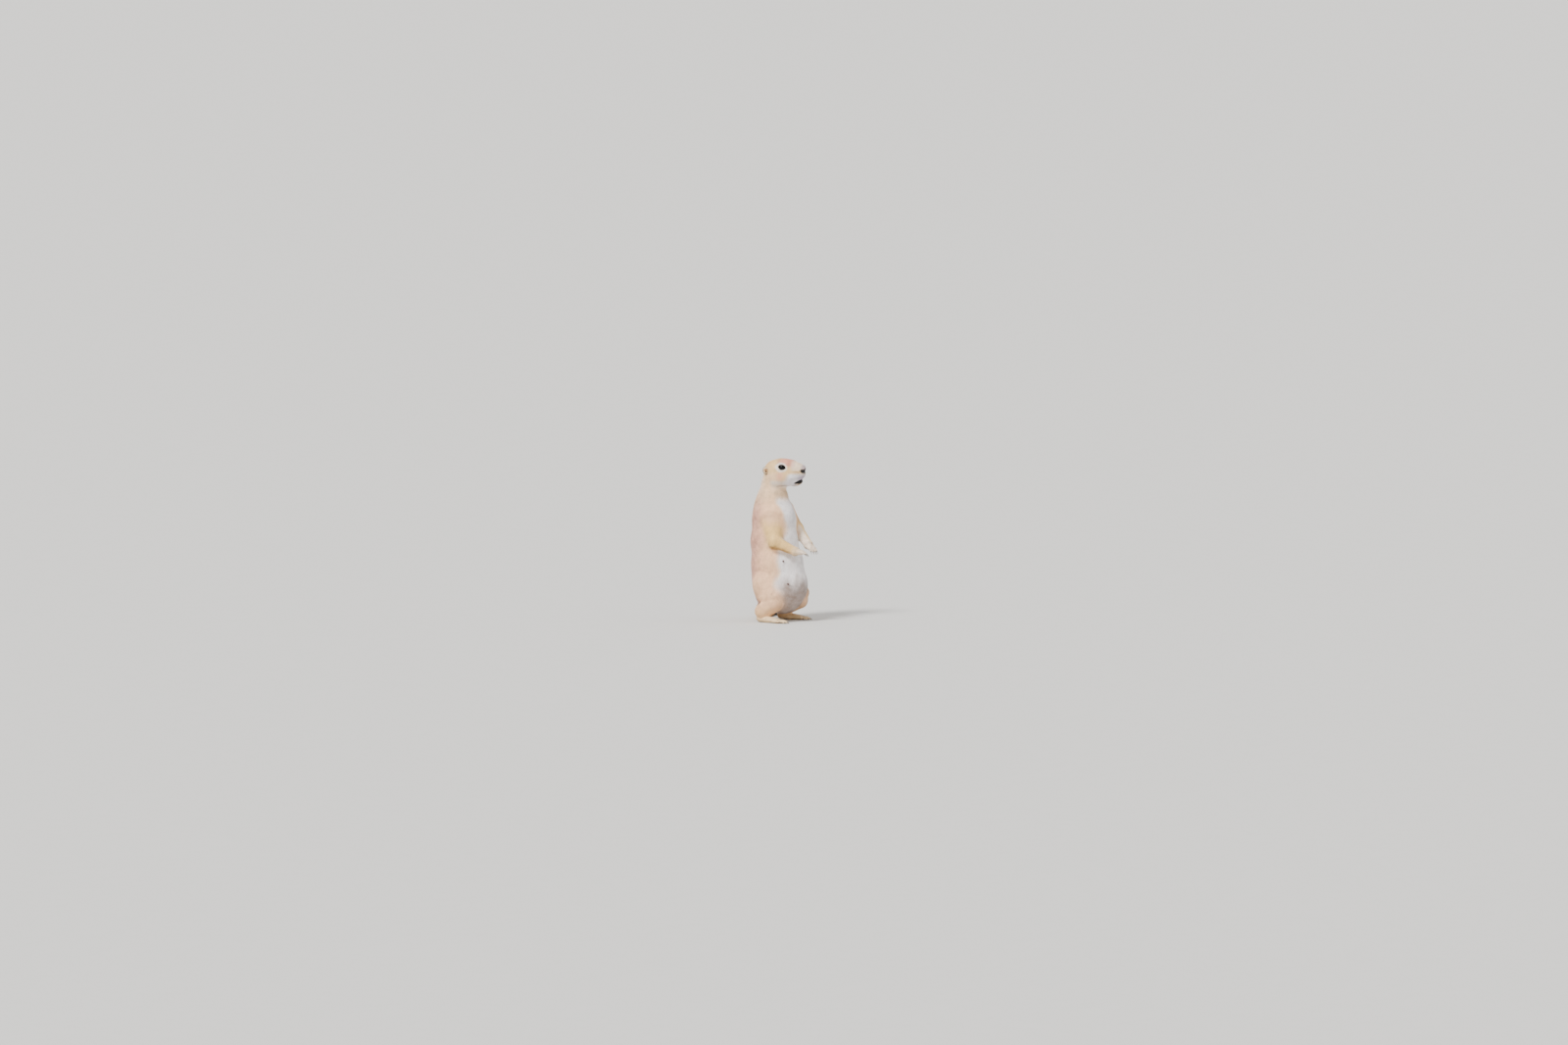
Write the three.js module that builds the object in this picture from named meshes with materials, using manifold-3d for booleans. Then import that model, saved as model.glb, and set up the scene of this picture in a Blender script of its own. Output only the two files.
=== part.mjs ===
// A prairie dog standing upright on its hind legs, as a still model at life size.
// Millimetres, +Z up, floor at z = 0. The animal faces -Y, so its right side is -X.
// The flesh is one smooth body of round cones that melt into one another. Each named part is a
// skin of rings cast on that body, and neighbours meet face to face across a hair's breadth.

import * as THREE from "three";
import { mergeVertices } from "three/addons/utils/BufferGeometryUtils.js";
import Module from "manifold-3d";

const wasm = await Module();
wasm.setup();

// Driving dimensions

const GAP = 0.3; // between the faces of neighbouring parts
const SLIVER = 0.01; // corners closer than this are one
const FLOOR_REACH = 400; // side of the block that trims the soles flat
const HEAD_AT = [0, 8, 250]; // middle of the skull, where the head turns
const HEAD_YAW = THREE.MathUtils.degToRad(8); // the head looks a little to its left
const HEAD_FROM_Z = 190; // nothing of the head reaches lower
const HEAD_MELT = 6; // how far the head flows into the neck
const NECK_BASE_Z = 205; // where the neck leaves the trunk
const EYE = { at: [12.8, -18.2, 9.6], radius: 7, lidded: 7.75, aim: [0.94, -0.28, 0.2] };
const EYE_OPENING = { length: 12.6, height: 8, lid: 0.75 };
const EAR = { at: [19.3, 8.4, 4.4], half: [5.2, 6.2, 4], wall: 1.0, out: [0.9, -0.55, 0.12] };
const EAR_BOWL = { lift: [0.7, -0.5, 2.4], deep: 3.2 };
const MOUTH = { front: [0, -57, -5.6], corner: [0, -38.5, -16.2], height: 1.9, depth: 3.4 };
const NOSTRIL = { at: [3.4, -55.0, 5.6], half: [1.5, 2.4, 1.25] };
const NIPPLE = { radius: 1.5, height: 2.6 };
const FURTHEST = 90; // no ring reaches further from its middle

// Paws: where the digits leave the edge, how long each is, and the claw that ends it
const TOES = {
  root: [38, -25, 3.1],
  across: [-6.6, -3.4, 0, 3.4, 6.4],
  lead: [6, 1.2, 0, 1.4, 7],
  length: [9, 12, 13, 12, 8.5],
  fan: 0.022,
  shape: { radius: 2.25, drop: 0.7, claw: 6.2 },
};
const FINGERS = {
  across: [-5.4, -1.9, 1.8, 5.2],
  length: [7.4, 9, 9, 7.2],
  fan: 0.03,
  palm: 0.55, // share of the hand that is palm
  shape: { radius: 2.25, drop: 1.5, claw: 7 },
};
const SOLE = {
  path: [[35, 24, 7], [35.5, 12, 6.5], [36.5, -8, 5], [38, -24, 3.6]],
  width: [6.2, 7.2, 8.8, 9.2],
  height: [7.4, 8.4, 6.4, 4.4],
};

// Round cones of the flesh: two balls and the taper between them. "wide" draws each ball out
// sideways, and "melt" is how far the cone flows into the forms listed before it.

/** One round cone: ball, ball, melt, and how wide each ball is drawn. */
function cone(from, r1, to, r2, melt, wide1 = 1, wide2 = wide1) {
  return { from, to, r1, r2, melt, wide1, wide2 };
}

/** The same cone on the right and on the left of the body. */
function pair(from, r1, to, r2, melt) {
  const flip = ([x, y, z]) => [-x, y, z];
  return [cone(from, r1, to, r2, melt), cone(flip(from), r1, flip(to), r2, melt)];
}

const TRUNK = [
  cone([0, 12.7, 203], 26.4, [0, 13, 188], 31.5, 0, 0.9, 0.88),
  cone([0, 13, 188], 31.5, [0, 10, 170], 37, 8, 0.88, 0.88),
  cone([0, 10, 170], 37, [0, 9.5, 135], 39.5, 8, 0.88, 0.93),
  cone([0, 9.5, 135], 39.5, [0, 3.5, 95], 43.8, 8, 0.93, 0.93),
  cone([0, 3.5, 95], 43.8, [0, -5, 62], 44, 8, 0.93, 0.88),
  cone([0, -5, 62], 44, [0, -6, 50], 38, 8, 0.88, 0.92),
  cone([0, 10, 66], 36, [0, 15, 47], 27, 12, 1, 1.05),
];

const NECK = [cone([0, 12.7, 203], 26.4, [0, 10, 234], 21.5, 8, 0.9, 0.94)];

// In the head's own frame: x to its left, y backwards, z up, from the middle of the skull.
const HEAD = [
  cone([0, -0.5, 2.2], 18.8, [0, -8, 1.5], 19.4, 0, 1.0, 1.04),
  cone([0, -7, -0.6], 19.7, [0, -13, 1.5], 20.6, 10, 1.12, 1.04),
  cone([0, -14, 2.8], 20.4, [0, -28, 5], 17.9, 6, 0.84),
  cone([0, -24, 4], 16.2, [0, -45, 6.2], 9.8, 7, 0.98),
  cone([0, -5, -9], 15, [0, -38, -12.2], 8.8, 8, 0.98, 1),
  ...pair([10.5, -6, -9.5], 14, [11.5, -15, -8.5], 13, 6),
  ...pair([8.5, -27, -5.5], 10, [5, -45.6, -1.2], 7.7, 5),
  ...pair([11.6, -16.5, 16], 7.3, [9, -28, 15.6], 5.6, 5),
  ...pair(EYE.at, EYE.lidded, EYE.at, EYE.lidded, 3),
  cone([0, -44, -12.4], 6, [0, -36, -14.3], 7.4, 4, 1.15),
  cone([0, -51.2, 9.2], 4.6, [0, -45, 11.6], 5.2, 3, 1.25),
];

// The right knee is drawn back, the left one forwards.
const LEGS = {
  r: { sign: -1, knee: [31, -11, 46], ankle: [33, -10, 33], path: [[33, -20, 42], [32, -24, 39]] },
  l: { sign: 1, knee: [31.5, -22, 47], ankle: [33, -20, 34], path: [[35, -34, 41], [32, -33, 40]] },
};

const ARMS = {
  r: {
    shoulder: [-21, 2, 176],
    elbow: [-36.5, -13, 137],
    wrist: [-24, -44, 121.5],
    fingers: [-15, -64, 117.5],
  },
  l: {
    shoulder: [20, 3, 186],
    elbow: [35, -14, 154],
    wrist: [22.5, -43.5, 129],
    fingers: [18, -58, 119],
  },
};
const ARM_RADII = { shoulder: 17.5, elbow: 11.2, wrist: 7.6 };

const TAIL_PATH = [
  [2, 22, 31],
  [8, 35, 17.5],
  [22, 46, 10.5],
  [41, 54, 8.5],
  [62, 56, 7.6],
  [86, 50, 6.5],
];
const TAIL_HALF = { width: [16, 12.5, 10.5, 10.5, 11.5, 5], height: [16, 12.5, 9.2, 8, 7.6, 3.5] };

// Fields

const vec = (p) => new THREE.Vector3(...p);

/** Signed distance of a point to a round cone, negative inside it. */
function coneDistance(c, x, y, z) {
  const middle = (c.wide1 + c.wide2) / 2;
  const px = x - c.from[0];
  const py = y - c.from[1];
  const pz = z - c.from[2];
  const bx = c.to[0] - c.from[0];
  const by = c.to[1] - c.from[1];
  const bz = c.to[2] - c.from[2];
  const qx = px / middle;
  const bb = bx * bx + by * by + bz * bz;
  const slope = c.r1 - c.r2;
  const along = qx * bx + py * by + pz * bz;
  const cross2 = Math.max(0, (qx * qx + py * py + pz * pz) * bb - along * along);
  const flank = Math.sqrt(Math.max(1e-6, bb - slope * slope));
  const foot = (along - (Math.sqrt(cross2) * slope) / flank) / Math.max(bb, 1e-6);
  const t = Math.min(1, Math.max(0, foot));
  const wide = c.wide1 + (c.wide2 - c.wide1) * t;
  return Math.hypot((px - bx * t) / wide, py - by * t, pz - bz * t) - (c.r1 - slope * t);
}

/** Smooth union of two distances: they flow together where they differ by less than melt. */
function blend(a, b, melt) {
  if (melt <= 0) return Math.min(a, b);
  const h = Math.max(melt - Math.abs(a - b), 0) / melt;
  return Math.min(a, b) - h * h * melt * 0.25;
}

function fieldOf(forms) {
  return (x, y, z) =>
    forms.reduce((d, c) => blend(d, coneDistance(c, x, y, z), c.melt), 1e3);
}

const headToWorld = new THREE.Matrix4()
  .makeRotationZ(HEAD_YAW)
  .setPosition(...HEAD_AT);
const cosYaw = Math.cos(HEAD_YAW);
const sinYaw = Math.sin(HEAD_YAW);

const trunkField = fieldOf([...TRUNK, ...NECK]);
const headField = fieldOf(HEAD);

/** Trunk, neck and head as one smooth body. */
function bodyField(x, y, z) {
  const d = trunkField(x, y, z);
  if (z < HEAD_FROM_Z) return d;
  const dx = x - HEAD_AT[0];
  const dy = y - HEAD_AT[1];
  const hx = cosYaw * dx + sinYaw * dy;
  const hy = cosYaw * dy - sinYaw * dx;
  const hz = z - HEAD_AT[2];
  return blend(d, headField(hx, hy, hz), HEAD_MELT);
}

// Skins of rings

/** Distance from a point inside a field to its surface in one direction. */
function reach(field, from, dir, level, furthest) {
  let near = 0;
  let far = 0;
  for (;;) {
    const d = field(from.x + dir.x * far, from.y + dir.y * far, from.z + dir.z * far) - level;
    if (d > 0) break;
    near = far;
    far += Math.max(0.5, -0.7 * d);
    if (far > furthest) return furthest;
  }
  if (far === 0) throw new Error("a ring starts outside its body");
  for (let i = 0; i < 26; i++) {
    const mid = (near + far) / 2;
    const d = field(from.x + dir.x * mid, from.y + dir.y * mid, from.z + dir.z * mid) - level;
    if (d > 0) far = mid;
    else near = mid;
  }
  return near;
}

/** Closed skin through rings of points, each end a pole or the middle of a flat face. */
function skinOf(rings, first, last) {
  const sides = rings[0].length;
  const positions = [];
  rings.forEach((ring) => ring.forEach((p) => positions.push(p.x, p.y, p.z)));
  const start = rings.length * sides;
  positions.push(first.x, first.y, first.z, last.x, last.y, last.z);
  const faces = [];
  for (let j = 0; j < sides; j++) {
    const k = (j + 1) % sides;
    faces.push(start, k, j);
    for (let i = 0; i + 1 < rings.length; i++) {
      const a = i * sides;
      const b = a + sides;
      faces.push(a + j, a + k, b + j, a + k, b + k, b + j);
    }
    const e = (rings.length - 1) * sides;
    faces.push(e + j, e + k, start + 1);
  }
  const geometry = new THREE.BufferGeometry();
  geometry.setAttribute("position", new THREE.Float32BufferAttribute(positions, 3));
  geometry.setIndex(faces);
  return geometry;
}

/** Places along a path, from 0 to 1: an open end starts on it, a round end crowds towards it. */
function places(count, roundStart, roundEnd) {
  const out = [];
  for (let i = 0; i < count; i++) {
    const whole = roundStart ? count - 0.4 + (roundEnd ? 0.6 : 0) : count - (roundEnd ? 0.4 : 1);
    const s = (roundStart ? i + 0.6 : i) / whole;
    if (roundStart && roundEnd) out.push((1 - Math.cos(Math.PI * s)) / 2);
    else if (roundEnd) out.push(Math.sin((Math.PI / 2) * s));
    else if (roundStart) out.push(1 - Math.cos((Math.PI / 2) * s));
    else out.push(s);
  }
  return out;
}

/** Ring frames along a smooth path: middle, direction, and two directions across. */
function framesAlong(points, spots, ref) {
  const path = new THREE.CatmullRomCurve3(points.map(vec), false, "centripetal");
  return spots.map((t) => {
    const middle = path.getPoint(t);
    const along = path.getTangent(t);
    return frameAt(middle, along, ref);
  });
}

function frameAt(middle, along, ref) {
  const side = vec(ref).addScaledVector(along, -along.dot(vec(ref))).normalize();
  return { middle, along, side, over: along.clone().cross(side) };
}

/** Skin cast on a field from the middles of its rings, at a level outside the surface. */
function castSkin(field, frames, sides, { level = 0, roundStart, roundEnd, furthest = FURTHEST }) {
  const rings = frames.map(({ middle, side, over }) =>
    Array.from({ length: sides }, (_, j) => {
      const a = (2 * Math.PI * j) / sides;
      const dir = side.clone().multiplyScalar(Math.cos(a)).addScaledVector(over, Math.sin(a));
      return middle.clone().addScaledVector(dir, reach(field, middle, dir, level, furthest));
    }),
  );
  const pole = (frame, sign) => {
    const dir = frame.along.clone().multiplyScalar(sign);
    return frame.middle.clone().addScaledVector(dir, reach(field, frame.middle, dir, level, furthest));
  };
  const first = roundStart ? pole(frames[0], -1) : frames[0].middle;
  const last = roundEnd ? pole(frames.at(-1), 1) : frames.at(-1).middle;
  return skinOf(rings, first, last);
}

/** Smooth value between the given ones, t from 0 to 1. */
function smoothAt(values, t) {
  const curve = new THREE.CatmullRomCurve3(
    values.map((v, i) => new THREE.Vector3(i, v, 0)),
    false,
    "catmullrom",
    0.5,
  );
  return curve.getPoint(t).y;
}

/** Oval tube along a path, closed at its ends, from half widths and half heights. */
function ovalTube(points, widths, heights, ringCount, sides, ref, roundStart, roundEnd) {
  const spots = places(ringCount, roundStart, roundEnd);
  const frames = framesAlong(points, spots, ref);
  const cap = (t) => {
    const head = roundEnd && t > 0.75 ? Math.sqrt(Math.max(0.02, 1 - ((t - 0.75) / 0.25) ** 2)) : 1;
    const foot = roundStart && t < 0.25 ? Math.sqrt(Math.max(0.02, 1 - ((0.25 - t) / 0.25) ** 2)) : 1;
    return head * foot;
  };
  const rings = frames.map(({ middle, side, over }, i) => {
    const w = smoothAt(widths, spots[i]) * cap(spots[i]);
    const h = smoothAt(heights, spots[i]) * cap(spots[i]);
    return Array.from({ length: sides }, (_, j) => {
      const a = (2 * Math.PI * j) / sides;
      return middle
        .clone()
        .addScaledVector(side, w * Math.cos(a))
        .addScaledVector(over, h * Math.sin(a));
    });
  });
  return skinOf(rings, vec(points[0]), vec(points.at(-1)));
}

// Joining and cutting

/** A closed mesh as a solid, with corners closer than "finest" merged into one. */
function solid(geometry, finest = 1e-4) {
  const bare = geometry.clone();
  bare.deleteAttribute("normal");
  bare.deleteAttribute("uv");
  const merged = mergeVertices(bare, finest);
  const corners = merged.index.array;
  const triVerts = [];
  for (let i = 0; i < corners.length; i += 3) {
    const [a, b, c] = corners.slice(i, i + 3);
    if (a !== b && b !== c && c !== a) triVerts.push(a, b, c);
  }
  const mesh = new wasm.Mesh({
    numProp: 3,
    vertProperties: merged.attributes.position.array,
    triVerts: new Uint32Array(triVerts),
  });
  return new wasm.Manifold(mesh);
}

/** The largest closed body of a solid, as a geometry. */
function largestOf(joined) {
  const largest = joined.decompose().reduce((a, b) => (b.volume() > a.volume() ? b : a));
  const mesh = largest.getMesh();
  const geometry = new THREE.BufferGeometry();
  geometry.setAttribute("position", new THREE.BufferAttribute(mesh.vertProperties, 3));
  geometry.setIndex(new THREE.BufferAttribute(mesh.triVerts, 1));
  return geometry;
}

/** A node's geometry: its largest body, without the slivers that the cuts leave. */
function geometryOf(joined) {
  return largestOf(solid(largestOf(joined), SLIVER));
}

/** A block whose near face is the plane through a point, reaching away along the normal. */
function halfSpace(at, normal, size = FLOOR_REACH) {
  const block = new THREE.BoxGeometry(size, size, size).translate(0, 0, size / 2);
  const turn = new THREE.Quaternion().setFromUnitVectors(
    new THREE.Vector3(0, 0, 1),
    vec(normal).normalize(),
  );
  return solid(block.applyQuaternion(turn).translate(...at));
}

const belowFloor = halfSpace([0, 0, 0], [0, 0, -1]);

/** A ball drawn out along its own axes, turned and set in place. */
function ovalBall(half, columns, rows, matrix) {
  return solid(new THREE.SphereGeometry(1, columns, rows).scale(...half).applyMatrix4(matrix));
}

/** Matrix that stands x along "across" and z along "out" at a point. */
function standing(at, out, up) {
  const z = vec(out).normalize();
  const x = vec(up).cross(z).normalize();
  const y = z.clone().cross(x);
  return new THREE.Matrix4().makeBasis(x, y, z).setPosition(...at);
}

const mirrored = ([x, y, z], sign) => [x * sign, y, z];

// Head

const THROAT = { at: [0, -24, -33], neckTilt: 24.8 }; // hinge of the rings under the jaw
const NOSE_TIP = [0, -54.6, 8];
const HEAD_SIDES = 32;

/** Frame in the head's own frame, brought to its place on the neck. */
function headFrame(middle, along) {
  const turned = vec(along).transformDirection(headToWorld);
  const across = vec([1, 0, 0]).transformDirection(headToWorld);
  return frameAt(vec(middle).applyMatrix4(headToWorld), turned, across.toArray());
}

/** Ring frame that fans about the throat: at neckTilt it lies on the neck, at 90 it stands. */
function throatFrame(tilt, raise) {
  const a = THREE.MathUtils.degToRad(tilt);
  const t = (tilt - THROAT.neckTilt) / (90 - THROAT.neckTilt);
  const out = THREE.MathUtils.lerp(28, 30, t);
  const [x, y, z] = THROAT.at;
  const along = [0, -Math.sin(a), Math.cos(a)];
  const middle = [x, y + out * Math.cos(a) + raise * along[1], z + out * Math.sin(a) + raise * along[2]];
  return headFrame(middle, along);
}

/** Head without its lids and openings, from the neck round the throat and on to the nose. */
function headSkin(level) {
  const fan = 12;
  const frames = Array.from({ length: fan }, (_, i) =>
    throatFrame(THREE.MathUtils.lerp(THROAT.neckTilt, 90, i / fan), i === 0 ? GAP / 2 : 0),
  );
  const start = vec([0, THROAT.at[1], THROAT.at[2] + 30]);
  const tip = vec(NOSE_TIP);
  for (const t of places(14, false, true)) {
    const middle = start.clone().lerp(tip, t);
    middle.z = THREE.MathUtils.lerp(start.z, tip.z, t ** 3);
    frames.push(headFrame(middle.toArray(), [0, -1, 0]));
  }
  return castSkin(bodyField, frames, HEAD_SIDES, { level, roundEnd: true });
}

/** Almond of an open eye: two arcs that meet in the corners. */
function almond(length, height, steps) {
  const points = [];
  for (let i = 0; i < 2 * steps; i++) {
    const a = (Math.PI * i) / steps;
    const x = Math.cos(a);
    const lift = Math.sign(Math.sin(a)) * Math.abs(Math.sin(a)) ** 1.25;
    points.push(new THREE.Vector2((length / 2) * x, (height / 2) * lift + 0.5 * x * x));
  }
  return points;
}

function eyeFrame(sign) {
  const local = standing(mirrored(EYE.at, sign), mirrored(EYE.aim, sign), [0, 0, 1]);
  return headToWorld.clone().multiply(local);
}

/** Raised edge of the lids, a cord that lies on the skin round the opening. */
function lidRim(sign) {
  const { length, height, lid } = EYE_OPENING;
  const frame = eyeFrame(sign);
  const middle = new THREE.Vector3().setFromMatrixPosition(frame);
  const edge = almond(length + lid, height + lid, 9).map(({ x, y }) => {
    const out = Math.sqrt(EYE.lidded ** 2 - x * x - y * y);
    const dir = new THREE.Vector3(x, y, out).normalize().transformDirection(frame);
    return middle.clone().addScaledVector(dir, reach(bodyField, middle, dir, 0, 30));
  });
  const ring = new THREE.CatmullRomCurve3(edge, true);
  const section = new THREE.Shape(new THREE.EllipseCurve(0, 0, lid, lid).getPoints(5).slice(0, 5));
  return solid(new THREE.ExtrudeGeometry(section, { steps: 18, extrudePath: ring }));
}

function lidOpening(sign) {
  const shape = new THREE.Shape(almond(EYE_OPENING.length, EYE_OPENING.height, 10));
  const block = new THREE.ExtrudeGeometry(shape, { depth: 14, bevelEnabled: false });
  return solid(block.applyMatrix4(eyeFrame(sign)));
}

/** Ball of the eye, or the hollow that holds it. */
function eyeBall(sign, extra) {
  const half = [0, 1, 2].map(() => EYE.radius + extra);
  return ovalBall(half, 18, 10, eyeFrame(sign));
}

/** Groove of the mouth: a thin wedge round the muzzle, open to the front and to both sides. */
function mouthCut() {
  const { front, corner, height, depth } = MOUTH;
  const reachBack = corner[1] - front[1];
  const arch = (halfWidth, tip) => {
    const curve = new THREE.EllipseCurve(0, 0, halfWidth, tip, 0, Math.PI);
    return curve.getPoints(14);
  };
  const outline = [
    ...arch(20, reachBack + 8),
    ...arch(12.2 - depth, reachBack - depth - 4.1).reverse(),
  ];
  const wedge = new THREE.ExtrudeGeometry(new THREE.Shape(outline), {
    depth: height,
    bevelEnabled: false,
  });
  wedge.translate(0, 0, -height / 2);
  const slope = Math.atan2(corner[2] - front[2], reachBack);
  const turn = new THREE.Matrix4().makeRotationX(Math.PI).premultiply(
    new THREE.Matrix4().makeRotationX(slope),
  );
  wedge.applyMatrix4(turn).translate(...corner).applyMatrix4(headToWorld);
  return solid(wedge);
}

function nostrilCut(sign) {
  const [x, y, z] = mirrored(NOSTRIL.at, sign);
  const place = headToWorld
    .clone()
    .multiply(new THREE.Matrix4().makeTranslation(x, y, z))
    .multiply(new THREE.Matrix4().makeRotationZ(sign * 0.7))
    .multiply(new THREE.Matrix4().makeRotationX(-0.5));
  return ovalBall(NOSTRIL.half, 10, 6, place);
}

/** Cleft between the two halves of the upper lip, below the nose. */
function lipCleft() {
  const wedge = new THREE.ConeGeometry(1.1, 9, 4).rotateX(Math.PI);
  wedge.rotateX(Math.PI / 2).translate(0, -56.2, -1.8).applyMatrix4(headToWorld);
  return solid(wedge);
}

function earFrame(sign) {
  const local = standing(mirrored(EAR.at, sign), mirrored(EAR.out, sign), [0, 0.2, 1]);
  return headToWorld.clone().multiply(local);
}

/** Cup of an ear: an oval shell, open outwards and forwards, seated on the head. */
function ear(sign, seat) {
  const [wide, tall] = EAR.half;
  const frame = earFrame(sign);
  const shell = ovalBall(EAR.half, 18, 10, frame);
  const lift = new THREE.Matrix4().makeTranslation(...mirrored(EAR_BOWL.lift, sign));
  const inner = [wide - EAR.wall, tall - EAR.wall, EAR_BOWL.deep];
  const bowl = ovalBall(inner, 16, 8, frame.clone().multiply(lift));
  return shell.subtract(bowl).subtract(seat);
}

function earHole(sign) {
  const frame = earFrame(sign).multiply(new THREE.Matrix4().makeTranslation(sign * 0.8, -2.2, -1));
  return ovalBall([1.8, 2.2, 4], 8, 6, frame);
}

function head() {
  let made = solid(headSkin(0));
  for (const sign of [1, -1]) {
    made = made.add(lidRim(sign));
    made = made.subtract(eyeBall(sign, GAP)).subtract(lidOpening(sign));
    made = made.subtract(nostrilCut(sign)).subtract(earHole(sign));
  }
  return made.subtract(mouthCut()).subtract(lipCleft());
}

// Neck and trunk

function neckSkin() {
  const bottom = frameAt(vec([0, 13.5, NECK_BASE_Z + GAP]), vec([0, 0, 1]), [1, 0, 0]);
  const top = throatFrame(THROAT.neckTilt, -GAP / 2);
  const count = 7;
  const frames = Array.from({ length: count }, (_, i) => {
    const t = i / (count - 1);
    const along = bottom.along.clone().lerp(top.along, t).normalize();
    const side = bottom.side.clone().lerp(top.side, t);
    return frameAt(bottom.middle.clone().lerp(top.middle, t), along, side.toArray());
  });
  return castSkin(bodyField, frames, HEAD_SIDES, {});
}

function trunkSkin(level) {
  const frames = places(24, true, false).map((t) => {
    const z = THREE.MathUtils.lerp(13, NECK_BASE_Z, t);
    const y = smoothAt([0, 0, 4, 8, 10.5, 13.5], t);
    return frameAt(new THREE.Vector3(0, y, z), vec([0, 0, 1]), [1, 0, 0]);
  });
  return castSkin(bodyField, frames, 34, { level, roundStart: true });
}

const NIPPLES = [
  { z: 104, x: 35 },
  { z: 66, x: 26 },
];

function nipple({ x, z }, sign) {
  const from = new THREE.Vector3(0, 4, z);
  const dir = new THREE.Vector3(sign * x, -34, 0).normalize();
  const at = from.clone().addScaledVector(dir, reach(bodyField, from, dir, 0, 90));
  const peg = new THREE.ConeGeometry(NIPPLE.radius, 2 * NIPPLE.height, 6).rotateX(Math.PI / 2);
  return solid(peg.applyMatrix4(standing(at.toArray(), dir.toArray(), [0, 0, 1])));
}

function trunk() {
  const pegs = NIPPLES.flatMap((spot) => [nipple(spot, 1), nipple(spot, -1)]);
  return pegs.reduce((made, peg) => made.add(peg), solid(trunkSkin(0)));
}

// Limbs

const THIGH = { hip: [19.5, 8, 66], hipRadius: 26.5, kneeRadius: 16, back: [22, 9, 55] };
const THIGH_BACK = { radius: 23, endRadius: 17.5, melt: 10 };
const SHANK = { radius: 15.3, heel: [34.5, 12, 18.5], heelRadius: 13.5, behind: [35, 23, 12] };
const THIGH_START = [12, 27, 74];
const THIGH_MIDDLE = [20, 9, 63];

/** A limb of cones given for the left side, cast on rings along its path, round at both ends. */
function limbSkin(sign, cones, path, ringCount, sides, level) {
  const forms = cones.map((c) => ({ ...c, from: mirrored(c.from, sign), to: mirrored(c.to, sign) }));
  const spots = places(ringCount, true, true);
  const frames = framesAlong(path.map((p) => mirrored(p, sign)), spots, [0, 0, 1]);
  return solid(castSkin(fieldOf(forms), frames, sides, { level, roundStart: true, roundEnd: true }));
}

function thighBody(leg, level) {
  const { hip, hipRadius, kneeRadius, back } = THIGH;
  const inside = leg.knee.map((v, i) => v - [0.5, -10, 4][i]);
  const cones = [
    cone(hip, hipRadius, leg.knee, kneeRadius, 0),
    cone(back, THIGH_BACK.radius, inside, THIGH_BACK.endRadius, THIGH_BACK.melt),
  ];
  const path = [THIGH_START, THIGH_MIDDLE, leg.knee, leg.path[0]];
  return limbSkin(leg.sign, cones, path, 12, 24, level);
}

function shankBody(leg, level = 0) {
  const { radius, heel, heelRadius, behind } = SHANK;
  const cones = [cone(leg.ankle, radius, heel, heelRadius, 0)];
  return limbSkin(leg.sign, cones, [leg.path[1], leg.ankle, heel, behind], 11, 20, level);
}

/** A claw: tapers from its root and bends down by the drop. */
function claw(root, dir, drop, length, radius) {
  const a = vec(root);
  const d = vec(dir).normalize();
  const mid = a.clone().addScaledVector(d, length * 0.55);
  const tip = a.clone().addScaledVector(d, length).add(vec([0, 0, -drop]));
  const points = [a, mid, tip].map((p) => p.toArray());
  const widths = [radius, radius * 0.8, 0.22];
  const heights = [radius * 1.2, radius, 0.25];
  return solid(ovalTube(points, widths, heights, 4, 5, [0, 0, 1], false, false));
}

/** A digit with its claw, from the paw's edge: a tapering finger that bends down, then the claw. */
function digit(root, dir, length, shape) {
  const { radius } = shape;
  const a = vec(root);
  const d = vec(dir).normalize();
  const back = a.clone().addScaledVector(d, -radius * 2.2);
  const knuckle = a.clone().addScaledVector(d, length * 0.5).add(vec([0, 0, 0.35 * radius]));
  const end = a.clone().addScaledVector(d, length).add(vec([0, 0, -shape.drop]));
  const finger = ovalTube(
    [back, a, knuckle, end].map((p) => p.toArray()),
    [radius, radius * 1.02, radius, radius * 0.72],
    [radius, radius, radius * 0.95, radius * 0.7],
    6, 7, [0, 0, 1], true, true,
  );
  const forward = end.clone().sub(knuckle).normalize();
  const clawRoot = end.clone().addScaledVector(forward, -radius * 0.9).add(vec([0, 0, 0.2]));
  return solid(finger).add(
    claw(clawRoot.toArray(), forward.toArray(), shape.claw * 0.22, shape.claw, radius * 0.42),
  );
}

function foot(sign, seats) {
  const path = SOLE.path.map((p) => mirrored(p, sign));
  let made = solid(ovalTube(path, SOLE.width, SOLE.height, 10, 14, [1, 0, 0], true, true));
  const [x, y, z] = TOES.root;
  TOES.across.forEach((across, i) => {
    const root = mirrored([x + across, y + TOES.lead[i], z], sign);
    const dir = mirrored([0.06 + across * TOES.fan, -1, -0.02], sign);
    made = made.add(digit(root, dir, TOES.length[i], TOES.shape));
  });
  return seats.reduce((rest, seat) => rest.subtract(seat), made.subtract(belowFloor));
}

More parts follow.
